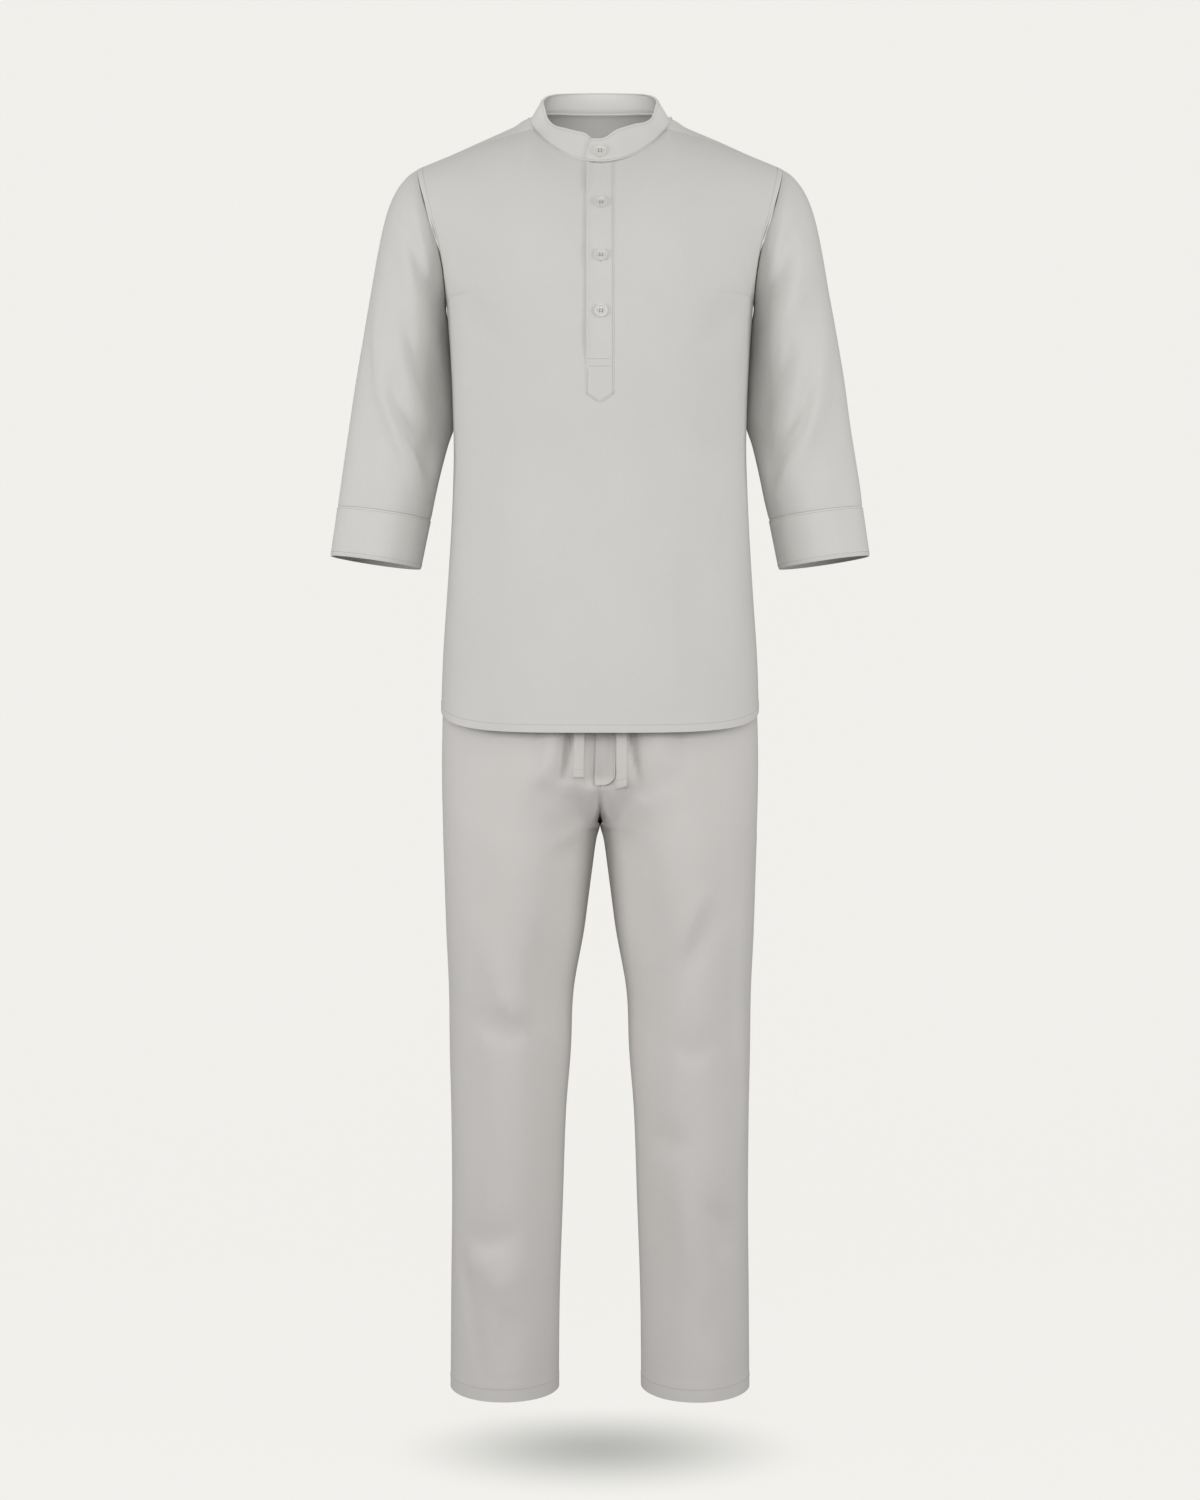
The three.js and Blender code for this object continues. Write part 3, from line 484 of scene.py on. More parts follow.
# Floor and light
# A pale studio sweep, a soft light to each side, a large soft one behind the camera, and a small
# spot into the neck. The set hangs a little above the floor, over a soft oval shadow that is
# painted into the sweep's glow, not cast by the lamps.
FLOOR_Z = -1.585
# Size and colour of the painted shadow: an oval of darker glow on the sweep under the set.
PAINTED_SHADOW_HALF_WIDTH = 0.27
PAINTED_SHADOW_HALF_DEPTH = 0.24
PAINTED_SHADOW_COLOUR = (0.46, 0.463, 0.44, 1)
SWEEP_COLOUR = (0.857, 0.848, 0.815, 1)
SWEEP_BOUNCE = 0.2


def sweep_paper():
    material = bpy.data.materials.new("sweep_paper")
    material.use_nodes = True
    tree = material.node_tree
    place = tree.nodes.new("ShaderNodeTexCoord").outputs["Object"]
    # Painted shadow: the sweep's glow is darkened in an oval round the origin by object
    # coordinates, whatever the lamps do.
    oval = add_node(tree, "Mapping", Vector=place,
                    Scale=(1 / PAINTED_SHADOW_HALF_WIDTH, 1 / PAINTED_SHADOW_HALF_DEPTH, 0))
    reach = add_node(tree, "VectorMath", Vector=oval.outputs["Vector"])
    reach.operation = "LENGTH"
    painted_shadow = add_node(tree, "ValToRGB", Fac=reach.outputs["Value"])
    painted_shadow.color_ramp.interpolation = "EASE"
    painted_shadow.color_ramp.elements[0].color = PAINTED_SHADOW_COLOUR
    painted_shadow.color_ramp.elements[1].position = 1
    painted_shadow.color_ramp.elements[1].color = SWEEP_COLOUR
    seen = tree.nodes.new("ShaderNodeLightPath").outputs["Is Camera Ray"]
    strength = add_node(tree, "MapRange", Value=seen, To_Min=SWEEP_BOUNCE, To_Max=1)
    fill(tree, tree.nodes["Principled BSDF"], Base_Color=(0.04, 0.04, 0.04, 1), Roughness=1,
         Specular_IOR_Level=0, Emission_Color=painted_shadow.outputs["Color"],
         Emission_Strength=strength.outputs["Result"])
    return material


def studio():
    depth = np.array([-4.2, -2, 0, 1.4, 2.0, 2.5, 2.85, 3.05, 3.1, 3.1, 3.1])
    height = np.array([0, 0, 0, 0, 0.06, 0.25, 0.6, 1.1, 1.8, 3.2, 5.0])
    across = np.linspace(-5.5, 5.5, 12)
    wide = len(across)
    rows = np.zeros((len(depth), wide, 3))
    rows[..., 0] = across
    rows[..., 1] = depth[:, None]
    rows[..., 2] = FLOOR_Z + height[:, None]
    corner = np.arange(rows[..., 0].size).reshape(-1, wide)[:-1, :-1].ravel()
    faces = np.stack([corner, corner + 1, corner + wide + 1, corner + wide], 1).tolist()
    mesh = bpy.data.meshes.new("sweep")
    mesh.from_pydata(rows.reshape(-1, 3).tolist(), [], faces)
    mesh.shade_smooth()
    mesh.materials.append(sweep_paper())
    sweep = bpy.data.objects.new("sweep", mesh)
    bpy.context.collection.objects.link(sweep)


def soft_light(name, place, aim, size, power, spread=180):
    data = bpy.data.lights.new(name, "AREA")
    data.shape = "RECTANGLE"
    data.size, data.size_y = size
    data.energy = power
    data.spread = math.radians(spread)
    light = bpy.data.objects.new(name, data)
    light.location = place
    run = np.array(aim, float) - np.array(place, float)
    flat = math.hypot(run[0], run[1])
    light.rotation_euler = (math.atan2(flat, -run[2]), 0, math.atan2(-run[0], run[1]))
    bpy.context.collection.objects.link(light)


studio()
soft_light("left_softbox", (-1.9, -1.15, -0.4), (0, 0, -0.6), (0.8, 1.0), 16.8)
soft_light("right_softbox", (1.9, -1.15, -0.4), (0, 0, -0.6), (0.8, 1.0), 15.5)
soft_light("camera_softbox", (-0.1, -3.9, 0.15), (0, 0, -0.4), (1.4, 1.4), 40)
soft_light("collar_spot", (0, -1.1, 0.75), (0, 0.065, 0.03), (0.1, 0.1), 0.027, 9)
world = bpy.data.worlds.new("studio_air")
world.use_nodes = True
world.node_tree.nodes["Background"].inputs["Color"].default_value = (1, 0.995, 0.98, 1)
world.node_tree.nodes["Background"].inputs["Strength"].default_value = 0.45
bpy.context.scene.world = world
bpy.context.scene.view_settings.view_transform = "Standard"

# Stitches
# Lockstitch in thread of the cloth's colour: each stitch is a small bead that sinks into the cloth
# at both ends. One mesh holds the stitches of one group of seams.
STITCH_PITCH = 3.0
STITCH_LENGTH = 2.3
STITCH_RADIUS = 0.3


def thread_material(look, colour):
    look.use_nodes = True
    tree = look.node_tree
    fill(tree, tree.nodes["Principled BSDF"], Roughness=0.62, Sheen_Weight=0.2)
    shade_between(tree, object_noise(tree, 900), [0.86 * value for value in colour], colour)


thread_material(thread_look, (0.47, 0.45, 0.43))


def read_line(at, keys, points):
    """Points between those of a line, which lie at the keys."""
    return np.stack([np.interp(at, keys, points[:, k]) for k in range(3)], -1)


def sample_line(line, pitch):
    """Points every pitch along a line of points with their outward directions."""
    points, outward = line
    run = run_along(points)
    at = np.arange(pitch / 2, run[-1], pitch)
    along = unit(read_line(at + 0.5, run, points) - read_line(at - 0.5, run, points))
    return read_line(at, run, points), along, unit(read_line(at, run, outward))


def inset_line(rows, normals, distance):
    """The points and outward directions of each row of a grid at a distance from its start."""
    points, outward = [], []
    for row, directions in zip(rows, normals):
        run = run_along(row)
        points.append(read_line(distance, run, row))
        outward.append(read_line(distance, run, directions))
    return np.array(points), np.array(outward)


def column_line(rows, at_column, distance, first=0, last=None):
    """A line up a panel at a distance from one of its side edges."""
    normals = grid_normals(rows)
    if at_column < 0:
        rows, normals = rows[:, ::-1], normals[:, ::-1]
    return inset_line(rows[first:last], normals[first:last], distance)


def row_line(rows, from_top, distance, round_grid=False):
    """A line across a panel or round a tube at a distance from its upper or lower edge."""
    normals = grid_normals(rows, round_grid)
    if from_top:
        rows, normals = rows[::-1], normals[::-1]
    points, outward = inset_line(rows.transpose(1, 0, 2), normals.transpose(1, 0, 2), distance)
    if round_grid:
        points = np.concatenate([points, points[:1]])
        outward = np.concatenate([outward, outward[:1]])
    return points, outward


def tube_faces(start, rings, sides):
    """Faces over rings of corners, from the corner at start, and over both ends."""
    faces = []
    for ring in range(rings - 1):
        for side in range(sides):
            a = start + ring * sides + side
            b = start + ring * sides + (side + 1) % sides
            faces.append((a, a + sides, b + sides, b))
    first_end = range(start, start + sides)
    last_end = range(start + (rings - 1) * sides, start + rings * sides)
    return faces + [tuple(first_end), tuple(reversed(last_end))]


def sew(name, lines):
    """Beads of thread along lines of the cloth, as one piece."""
    ring_at = np.array([-0.5, -0.3, 0, 0.3, 0.5]) * STITCH_LENGTH
    ring_size = np.array([0.35, 0.85, 1, 0.85, 0.35]) * STITCH_RADIUS
    ring_lift = np.array([-0.12, 0.08, 0.16, 0.08, -0.12])
    angles = np.arange(5) * 2 * np.pi / 5 + np.pi / 2
    corners, faces = [], []
    for line in lines:
        spots, along, normals = sample_line(line, STITCH_PITCH)
        across = np.cross(along, normals)
        for k in range(len(spots)):
            start = len(corners)
            for reach, size, lift in zip(ring_at, ring_size, ring_lift):
                centre = spots[k] + along[k] * reach + normals[k] * lift
                for angle in angles:
                    aside = across[k] * math.cos(angle) + normals[k] * math.sin(angle)
                    corners.append(centre + size * aside)
            faces += tube_faces(start, len(ring_at), len(angles))
    mesh = bpy.data.meshes.new(name)
    mesh.from_pydata((np.array(corners) / 1000).tolist(), [], faces)
    mesh.shade_smooth()
    mesh.materials.append(thread_look)
    place_piece(name, mesh)


# Trouser panels
# Two fronts and two backs, each cut in one piece from waist to hem, joined at the side seams, the
# inseams and the centre seam. The hem is turned up 15 mm and stitched.
TROUSER_COLUMNS = 46
HEM_TURN_UP = 15
BACK_FOLDS = [
    ([(-30, -690), (-36, -730), (-40, -778)], 8, -3.5),
    ([(22, -690), (30, -742), (27, -790)], 8, -3.8),
    ([(-84, -690), (-88, -735), (-97, -765)], 7, -2.6),
    ([(98, -690), (95, -728), (104, -752)], 7, -2.2),
    ([(-6, -800), (-40, -830), (-84, -836)], 11, -3.2),
    ([(8, -806), (44, -842), (90, -856)], 11, -3.4),
    ([(-10, -836), (-36, -872), (-70, -905)], 9, 2.4),
    ([(14, -846), (38, -890), (58, -934)], 10, 2.2),
    ([(-30, -880), (-56, -960), (-70, -1040)], 16, -2.4),
    ([(36, -886), (62, -950), (74, -1020)], 16, -2.2),
    ([(-158, -1030), (-120, -1062), (-78, -1070)], 12, -3.4),
    ([(160, -1044), (118, -1082), (72, -1092)], 12, -3.2),
    ([(-160, -1078), (-124, -1104), (-92, -1106)], 11, 2.2),
    ([(154, -1094), (120, -1122), (84, -1128)], 11, 2),
    ([(-158, -1190), (-146, -1260), (-150, -1340)], 13, -2),
    ([(162, -1210), (150, -1290), (140, -1370)], 13, -2.2),
    ([(-88, -1200), (-80, -1290), (-92, -1390)], 15, 1.8),
    ([(88, -1230), (96, -1310), (90, -1420)], 15, 1.6),
]
CROTCH_BLEND = 38
CROTCH_REACH = 105
CROTCH_FREE = 0.13
CENTRE_HOLLOW = 7
HOLLOW_HALF_WIDTH = 19
FLY_FOOT_Z = -786
HEM_Z = -1507
HEM_DIP = 8
HEM_DIP_START = 112.6
PANEL_WIDTH = 220
UNDER_KURTA = dict(foot=-735, side=120)
UNDER_TAPES = dict(foot=-800, half=42)


def centre_hollow(x, z):
    """How far the cloth sinks back between the two drawstring ends."""
    between_tapes = fade_past(np.abs(x) - HOLLOW_HALF_WIDTH, 1.7)
    return CENTRE_HOLLOW * between_tapes * fade_past(FLY_FOOT_Z - z, 2.5)


def trouser_panel(side, facing):
    face = -1 if facing == "front" else 1
    z = np.sort(np.concatenate([
        np.linspace(HEM_Z, CROTCH_Z - 3.3, 170),
        np.linspace(CROTCH_Z, WAIST_Z, 66),
        [-1506.4, -1505.4, -1503.8, -1491.6, -1490.4],
    ]))
    share = shares_with_edges(TROUSER_COLUMNS, PANEL_WIDTH)
    order = share if side == face else share[::-1]
    middle, half, depth, last = (part[:, None] for part in leg_section(z, facing))
    turn = order * last
    x = side * (middle + half * np.cos(turn))
    y = face * (HALF_SEAM + depth * np.sin(turn))
    settle = bell(z[:, None] - z[None, :], CROTCH_BLEND)
    settle /= settle.sum(1, keepdims=True)
    near_crotch = np.exp(-(((z - CROTCH_Z) / CROTCH_REACH) ** 4))[:, None]
    blend = near_crotch * ramp(1 - order, CROTCH_FREE)
    x = x + blend * (settle @ x - x)
    y = y + blend * (settle @ y - y)
    dip = HEM_DIP * ramp(HEM_Z + HEM_DIP_START - z, HEM_DIP_START) * (face < 0)
    level = z[:, None] - dip[:, None] * np.sin(turn)
    rows = np.stack([x, y, level], 2)
    from_seam = np.minimum(order, 1 - order)
    at_centre = (level > CROTCH_Z) & (order > 0.5)
    free = np.where(at_centre, 1, ramp(from_seam, 0.2))
    folds = fold_height(FRONT_FOLDS if face < 0 else BACK_FOLDS, x, level)
    waves = soft_waves(x, level, 7 if face < 0 else 19, 150, 0.9)
    out_aside = ramp(np.abs(x) - UNDER_KURTA["side"], 40)
    under_kurta = ramp(level - UNDER_KURTA["foot"], 25) * out_aside
    height = free * (folds + waves) * (1 - under_kurta)
    height = height + 0.35 * fade_past(level - HEM_Z - HEM_TURN_UP, 0.625)
    height = height + seam_dip(from_seam * PANEL_WIDTH)
    under_tapes = (np.abs(x) < UNDER_TAPES["half"]) & (level > UNDER_TAPES["foot"])
    height = np.where(under_tapes, np.minimum(height, 0.2), height)
    if face < 0:
        height = height - centre_hollow(x, level)
    return raised(rows, height)


trouser_grids = {}
for side_name, side in SIDES.items():
    for facing in ("front", "back"):
        panel = f"trouser_{facing}_{side_name}"
        trouser_grids[panel] = trouser_panel(side, facing)
        cloth = sew_shell(f"{panel}_cloth", trouser_grids[panel], 1, "trouser_cloth")
        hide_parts(panel)

# Waistband
# A doubled strip sewn into a tunnel for the drawstring, drawn up into small gathers. The kurta
# hides it in front view.


def waistband():
    top = HIP_SECTIONS[0]
    turn = np.linspace(0, 2 * np.pi, 361)[:-1]
    rise = np.array([0.3, 0.9, 2, 5, 9, 14, 18, 22, 27, 31, 33.4, 34.4, 35])
    depth = np.where(np.sin(turn) < 0, top["front"], top["back"])
    rows = np.zeros((len(rise), len(turn), 3))
    rows[..., 0] = top["outer"] * np.cos(turn)
    rows[..., 1] = depth * np.sin(turn)
    rows[..., 2] = WAIST_Z + rise[:, None]
    gathers = soft_waves(turn[None, :] * 130, 0 * rise[:, None], 31, 11, 0.8)
    belly = np.sin(np.pi * (rise / rise[-1]))[:, None] ** 0.5
    in_front = bell(np.sin(turn) + 1, 0.05)[None, :]
    height = -0.9 + np.minimum(gathers * belly, 0.8) * (1 - in_front) + 0.5 * belly
    band = sew_shell("waistband_cloth", raised(rows, height, True), 1.8, "trouser_cloth", True)
    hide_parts("waistband")


waistband()

# Fly flap
# The folded upper flap of the trousers' opening. It lies over the centre seam on the wearer's
# left, with a rounded lower corner and a stitched edge.
FLY = dict(left=-5, right=17, foot=-788, corner=14)


def fly_flap():
    rise = np.concatenate([[0, 0.6, 1.4, 2.6, 4, 6, 8.5, 11], np.linspace(14, 187.7, 60)])
    corner = np.clip(1 - rise / FLY["corner"], 0, 1)
    right = FLY["right"] - FLY["corner"] * (1 - np.sqrt(1 - corner ** 2))
    across = shares_with_edges(8, 22, near=(0.4, 1, 1.8, 3))
    x = FLY["left"] + (right[:, None] - FLY["left"]) * across
    z = np.broadcast_to((FLY["foot"] + rise)[:, None], x.shape)
    rows = np.stack([x, on_trouser_front(x, z), z], 2)
    bulge = 0.7 * bell(z + 784, 3.2) + 0.2 * np.sin(z / 17) * np.sin(np.pi * across)
    edge = seam_dip(np.minimum(across, 1 - across) * 22, 0.35, 1.2)
    rows = raised(rows, 1.35 + bulge + edge - centre_hollow(x, z))
    flap = sew_shell("fly_flap_cloth", rows, 1.1, "trouser_cloth")
    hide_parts("fly_flap")
    return rows


fly_rows = fly_flap()


def trouser_stitches():
    lines = []
    for panel, rows in trouser_grids.items():
        lines.append(row_line(rows, False, HEM_TURN_UP))
        crotch_row = int(np.searchsorted(rows[:, 0, 2], CROTCH_Z))
        if "front" in panel:
            side_seam = -1 if panel.endswith("left") else 0
            lines.append(column_line(rows, side_seam, 5.5, 6, crotch_row))
    lines.append(column_line(fly_rows, -1, 2.2, 6))
    for tape in (tape_right, tape_left):
        lines.append(row_line(tape, False, TAPE_TURN_UP))
    sew("trouser_stitches", lines)


trouser_stitches()

# Kurta cloth
# The same plain weave as the trousers' cloth, a shade paler and cooler.
cloth_looks["kurta_cloth"] = cloth_material(
    "kurta_cotton", (0.70, 0.69, 0.665), (0.60, 0.59, 0.57), 0.84
)

# Kurta front and back
# The front is one piece with the neck scooped out and a short slash under the placket. The back is
# one piece that laps forward to the shoulder seam. The hem is narrow and curved.
UNDERARM_Z = -212
UNDERARM_HALF = 183.5
BODY_SECTIONS = table(
    "z half front back square",
    (-212, 183.5, 124, 118, 2.7),
    (-280, 178.6, 124, 114, 2.6),
    (-350, 175.8, 121, 110, 2.5),
    (-400, 175.3, 119, 108, 2.4),
    (-480, 178.2, 122, 112, 2.3),
    (-560, 183.2, 128, 121, 2.25),
    (-640, 188.3, 134, 130, 2.25),
    (-730, 191, 138, 136, 2.25),
)
ARMHOLE_WIDTHS = table(
    "z half",
    (-50, 219),
    (-65, 216.5),
    (-90, 210.5),
    (-115, 203),
    (-140, 194.5),
    (-165, 188.5),
    (-190, 185),
    (-212, 183.5),
)
PANEL_RISE = {
    "front": table(
        "u rise spread depth lift",
        (0, 62, 3, 95, -37),
        (0.36, 44, 6, 88, -27),
        (0.7, 30, 28, 80, -20),
        (0.88, 14, 52, 77, -14),
        (1, 5, 75, 75, -10),
    ),
    "back": table(
        "u rise spread depth lift",
        (0, 105, 6, 88, -48),
        (0.2, 98, 8, 80, -10),
        (0.28, 94, 9, 70, 32),
        (0.36, 90, 10, 62, 80),
        (0.45, 82, 13, 62, 62),
        (0.7, 52, 28, 62, 34),
        (0.88, 22, 52, 68, 12),
        (1, 5, 75, 75, -10),
    ),
}
NECK_LOOP = dict(half=84, depth=63, back=-5, side=6, tilt=41, sag=19, egg=0.1)
SHOULDER_SEAM_TURN = 0.24
SHOULDER_TIP = np.array([219.0, 0, -50])
NECK_SHARE = 0.36


def loop_point(loop, turn):
    """A point of the neck seam or of the collar's upper edge; a quarter turn is centre front."""
    ahead = np.sin(turn)
    narrow = 1 - loop["egg"] * np.maximum(0, ahead)
    x = loop["half"] * np.cos(turn) * narrow
    y = loop["back"] - loop["depth"] * ahead
    if "heights" in loop:
        z = read_curve(loop["heights"], ahead, "z", "ahead")
    else:
        z = loop["side"] - loop["tilt"] * ahead - loop["sag"] * ahead * ahead
    return np.stack([x, y, z], -1)


def body_point(u, z, facing):
    face = -1 if facing == "front" else 1
    across = np.sin(np.abs(u) * np.pi / 2)
    square = read_curve(BODY_SECTIONS, z, "square")
    depth = read_curve(BODY_SECTIONS, z, facing)
    out = np.maximum(0, 1 - np.minimum(across, 1) ** square) ** (1 / square)
    x = np.sign(u) * read_curve(BODY_SECTIONS, z, "half") * across
    return np.stack([x, face * (HALF_SEAM + depth * out), z + 0 * x], -1)


def hem_height(u):
    ahead = np.cos(np.abs(u) * np.pi / 2)
    return -695 - 31.5 * (1 - (1 - ahead) ** 1.8)


def top_edge(u, facing):
    face = -1 if facing == "front" else 1
    neck_turn = -face * np.pi / 2 + (SHOULDER_SEAM_TURN + face * np.pi / 2) * u / NECK_SHARE
    at_neck = loop_point(NECK_LOOP, neck_turn)
    share = np.clip((u - NECK_SHARE) / (1 - NECK_SHARE), 0, 1)[..., None]
    side_neck = loop_point(NECK_LOOP, np.array(SHOULDER_SEAM_TURN))
    seam = side_neck + (SHOULDER_TIP - side_neck) * share
    seam[..., 2] += 3 * np.sin(np.pi * share[..., 0])
    seam[..., 1] += face * HALF_SEAM
    return np.where((u <= NECK_SHARE)[..., None], at_neck, seam)


def bend_through(t, start, start_lead, end_lead, end):
    s = 1 - t
    return s ** 3 * start + 3 * s * s * t * start_lead + 3 * s * t * t * end_lead + t ** 3 * end


def upper_point(u, v, facing):
    """Kurta above the underarm; v is 0 at the underarm and 1 at the neck or shoulder seam."""
    face = -1 if facing == "front" else 1
    u, v = np.broadcast_arrays(np.asarray(u, float), np.asarray(v, float))
    share = np.abs(u)
    low = body_point(share, np.full(share.shape, float(UNDERARM_Z)), facing)
    high = top_edge(share, facing)
    lead = {key: read_curve(PANEL_RISE[facing], share, key, "u")
            for key in ("rise", "spread", "depth", "lift")}
    y = bend_through(v, low[..., 1], low[..., 1] + face * lead["spread"],
                     face * lead["depth"], high[..., 1])
    z = bend_through(v, low[..., 2], low[..., 2] + lead["rise"],
                     high[..., 2] + lead["lift"], high[..., 2])
    low_share = low[..., 0] / read_curve(ARMHOLE_WIDTHS, low[..., 2], "half")
    high_share = high[..., 0] / read_curve(ARMHOLE_WIDTHS, high[..., 2], "half")
    half = read_curve(ARMHOLE_WIDTHS, z, "half")
    x = np.where(u < 0, -1.0, 1.0) * half * (low_share + (high_share - low_share) * v)
    return np.stack([x, y, z], -1)


# Folds of the kurta: drags below the armholes and slow upright waves over the hips
KURTA_FOLDS = {
    "front": [
        ([(-160, -226), (-142, -252), (-112, -281)], 14, -2.4),
        ([(-164, -194), (-142, -212), (-107, -236)], 13, 1.8),
        ([(-140, -250), (-144, -338), (-148, -428)], 16, -2),
        ([(160, -222), (144, -250), (117, -283)], 15, -2.2),
        ([(162, -190), (144, -208), (112, -229)], 13, 1.6),
        ([(133, -257), (139, -344), (142, -432)], 17, -1.8),
        ([(-120, -425), (-117, -572), (-110, -740)], 18, 1.8),
        ([(-152, -414), (-156, -572), (-160, -740)], 16, -1.8),
        ([(113, -414), (107, -548), (105, -740)], 18, -1.6),
        ([(146, -425), (151, -572), (157, -740)], 17, 1.8),
        ([(0, -348), (3, -432), (-3, -530)], 22, -0.8),
    ],
    "back": [
        ([(-160, -226), (-138, -256), (-96, -302)], 15, -2.8),
        ([(158, -222), (140, -252), (104, -288)], 15, -2.6),
        ([(-170, -190), (-138, -214), (-92, -246)], 13, 1.8),
        ([(172, -186), (136, -208), (88, -232)], 13, 2),
        ([(-64, -330), (-70, -440), (-62, -560)], 19, -2),
        ([(52, -350), (60, -470), (54, -600)], 19, -2.2),
        ([(-8, -380), (-4, -500), (-12, -640)], 22, 1.6),
        ([(-128, -470), (-134, -600), (-130, -740)], 18, 1.8),
        ([(124, -450), (132, -590), (136, -740)], 18, 1.8),
        ([(-90, -560), (-96, -650), (-92, -740)], 16, -1.6),
        ([(88, -540), (94, -640), (90, -740)], 16, -1.8),
    ],
}
KURTA_HEM = 9
SLASH_HALF_WIDTH = 1.2
SLASH_FOOT_Z = -262


def kurta_panel(facing):
    neck_steps = np.linspace(0, 1, 35)[1:] * NECK_SHARE
    shoulder_steps = NECK_SHARE + (1 - NECK_SHARE) * shares_with_edges(40, 150)[1:]
    steps = np.concatenate([neck_steps, shoulder_steps])
    slash = np.arcsin(SLASH_HALF_WIDTH / UNDERARM_HALF) / (np.pi / 2)
    centre = [-slash, slash] if facing == "front" else [0.0]
    u = np.concatenate([-steps[::-1], centre, steps])
    if facing == "back":
        u = u[::-1]
    low_share = shares_with_edges(128, 480)
    low_share = np.sort(np.append(low_share, [8.2 / 480, 9.6 / 480]))
    hem = hem_height(u)[None, :]
    level = hem + (UNDERARM_Z - hem) * low_share[:, None]
    lower = body_point(u[None, :] + 0 * level, level, facing)
    high_share = shares_with_edges(62, 200)[1:]
    upper = upper_point(u[None, :], high_share[:, None], facing)
    rows = np.concatenate([lower, upper])
    if facing == "back":
        rows[:, len(steps), 0] = 0
    return rows, u


def kurta_drape(x, z, facing):
    """Height of the kurta's folds and waves."""
    seed = 3 if facing == "front" else 11
    return fold_height(KURTA_FOLDS[facing], x, z) + soft_waves(x, z, seed, 170, 0.8)


def kurta_height(rows, u, facing):
    height = kurta_drape(rows[..., 0], rows[..., 2], facing)
    beside = (1 - np.abs(u))[None, :] * 200
    height = height * ramp(beside, 26) + seam_dip(beside)
    from_hem, from_top = from_ends(rows)
    height = height * ramp(from_top, 40)
    return height + 0.3 * fade_past(from_hem - KURTA_HEM, 0.5) + seam_dip(from_top)


kurta_grids = {}
for facing in ("front", "back"):
    plain, u = kurta_panel(facing)
    rows = raised(plain, kurta_height(plain, u, facing))
    kurta_grids[facing] = rows
    kept = np.ones((rows.shape[0] - 1, rows.shape[1] - 1), bool)
    if facing == "front":
        slash_column = int(np.searchsorted(u, 0)) - 1
        kept[:, slash_column] = rows[:-1, slash_column, 2] <= SLASH_FOOT_Z
    cloth = sew_shell(f"kurta_{facing}_cloth", rows, 1, "kurta_cloth", kept=kept)
    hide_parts(f"kurta_{facing}")

# Sleeves and cuffs
# A one-piece sleeve set into the armhole, and a deep cuff turned up double round its end. The
# elbow's break throws one long fold down towards the inner side of the cuff.
SLEEVE_RINGS = table(
    "outer_x outer_z inner_x inner_z depth fall back",
    (231, -60, 184.6, -217, 65, 0, 0),
    (245, -79, 183, -229, 69, 0.15, 12),
    (256, -106, 180.6, -243, 71, 0.3, 24),
    (266, -149, 179.2, -262, 72, 0.45, 34),
    (276, -206, 177, -288, 71, 0.55, 34),
    (285.7, -264, 175, -320, 69, 0.6, 34),
    (293, -307, 174.4, -349, 66, 0.6, 30),
    (299.4, -350, 182.6, -379, 63.5, 0.5, 14),
    (306.6, -398, 191.5, -418, 60.5, 0.2, 0),
    (314.6, -454.8, 203, -470.4, 57.5, 0.18, 0),
)
CUFF_END, = table(
    "outer_x outer_z inner_x inner_z depth fall back",
    (322.6, -514, 215, -529.5, 56.5, 0.14, 0),
)
SLEEVE_FOLDS = [
    ([(-235, -118), (-218, -160), (-200, -214)], 9, -5),
    ([(-246, -156), (-237, -201), (-226, -240)], 9, -2.8),
    ([(-216, -122), (-205, -158), (-194, -205)], 6, 3.4),
    ([(-261, -206), (-262, -263), (-257, -322), (-239, -379), (-213, -436), (-203, -456)], 9, 6.6),
    ([(-234, -228), (-222, -268), (-207, -312), (-195, -352)], 11, -8),
    ([(-249, -300), (-242, -336), (-222, -376), (-199, -418)], 8, -7.5),
    ([(-204, -372), (-206, -410), (-208, -446)], 7, -4),
    ([(-191, -288), (-186, -335), (-190, -372)], 7, -3.4),
    ([(-281, -330), (-273, -380), (-266, -440)], 15, -1.8),
    ([(-258, -372), (-262, -410), (-266, -456)], 11, 1.8),
    ([(244, -148), (230, -207), (207, -262)], 12, 3.4),
    ([(233, -120), (217, -166), (197, -222)], 9, -4.8),
    ([(214, -126), (204, -160), (193, -209)], 6, 3.2),
    ([(263, -222), (262, -280), (255, -336), (236, -390), (212, -440), (202, -460)], 9, 6.4),
    ([(232, -236), (221, -278), (206, -322), (194, -360)], 11, -7.6),
    ([(249, -306), (241, -344), (220, -384), (199, -424)], 8, -7.2),
    ([(203, -380), (206, -414), (209, -450)], 7, -3.8),
    ([(190, -280), (185, -326), (188, -366)], 7, -3.2),
    ([(284, -318), (276, -372), (268, -430)], 15, -1.7),
    ([(262, -384), (267, -416), (272, -458)], 11, 1.7),
]
BACK_SLEEVE_FOLDS = [
    ([(-236, -120), (-214, -176), (-198, -228)], 12, -2.8),
    ([(-262, -250), (-250, -320), (-226, -380), (-206, -430)], 13, 3),
    ([(-246, -260), (-232, -322), (-214, -368)], 12, -3.8),
    ([(-286, -330), (-270, -362), (-246, -378)], 11, -2.4),
    ([(234, -128), (218, -170), (200, -216)], 12, -2.6),
    ([(264, -240), (254, -310), (234, -372), (210, -424)], 13, 3),
    ([(250, -250), (238, -312), (216, -358)], 12, -3.6),
    ([(288, -318), (272, -356), (250, -380)], 11, -2.6),
]
CUFF_CLOTH = 1.7
CUFF_GAP = 0.3
INNER_SHARE = 0.4
INNER_ROUND = 2.2
RING_COLUMNS = 132
KURTA_SIDE_X = 188
SLEEVE_RISE = 5.5


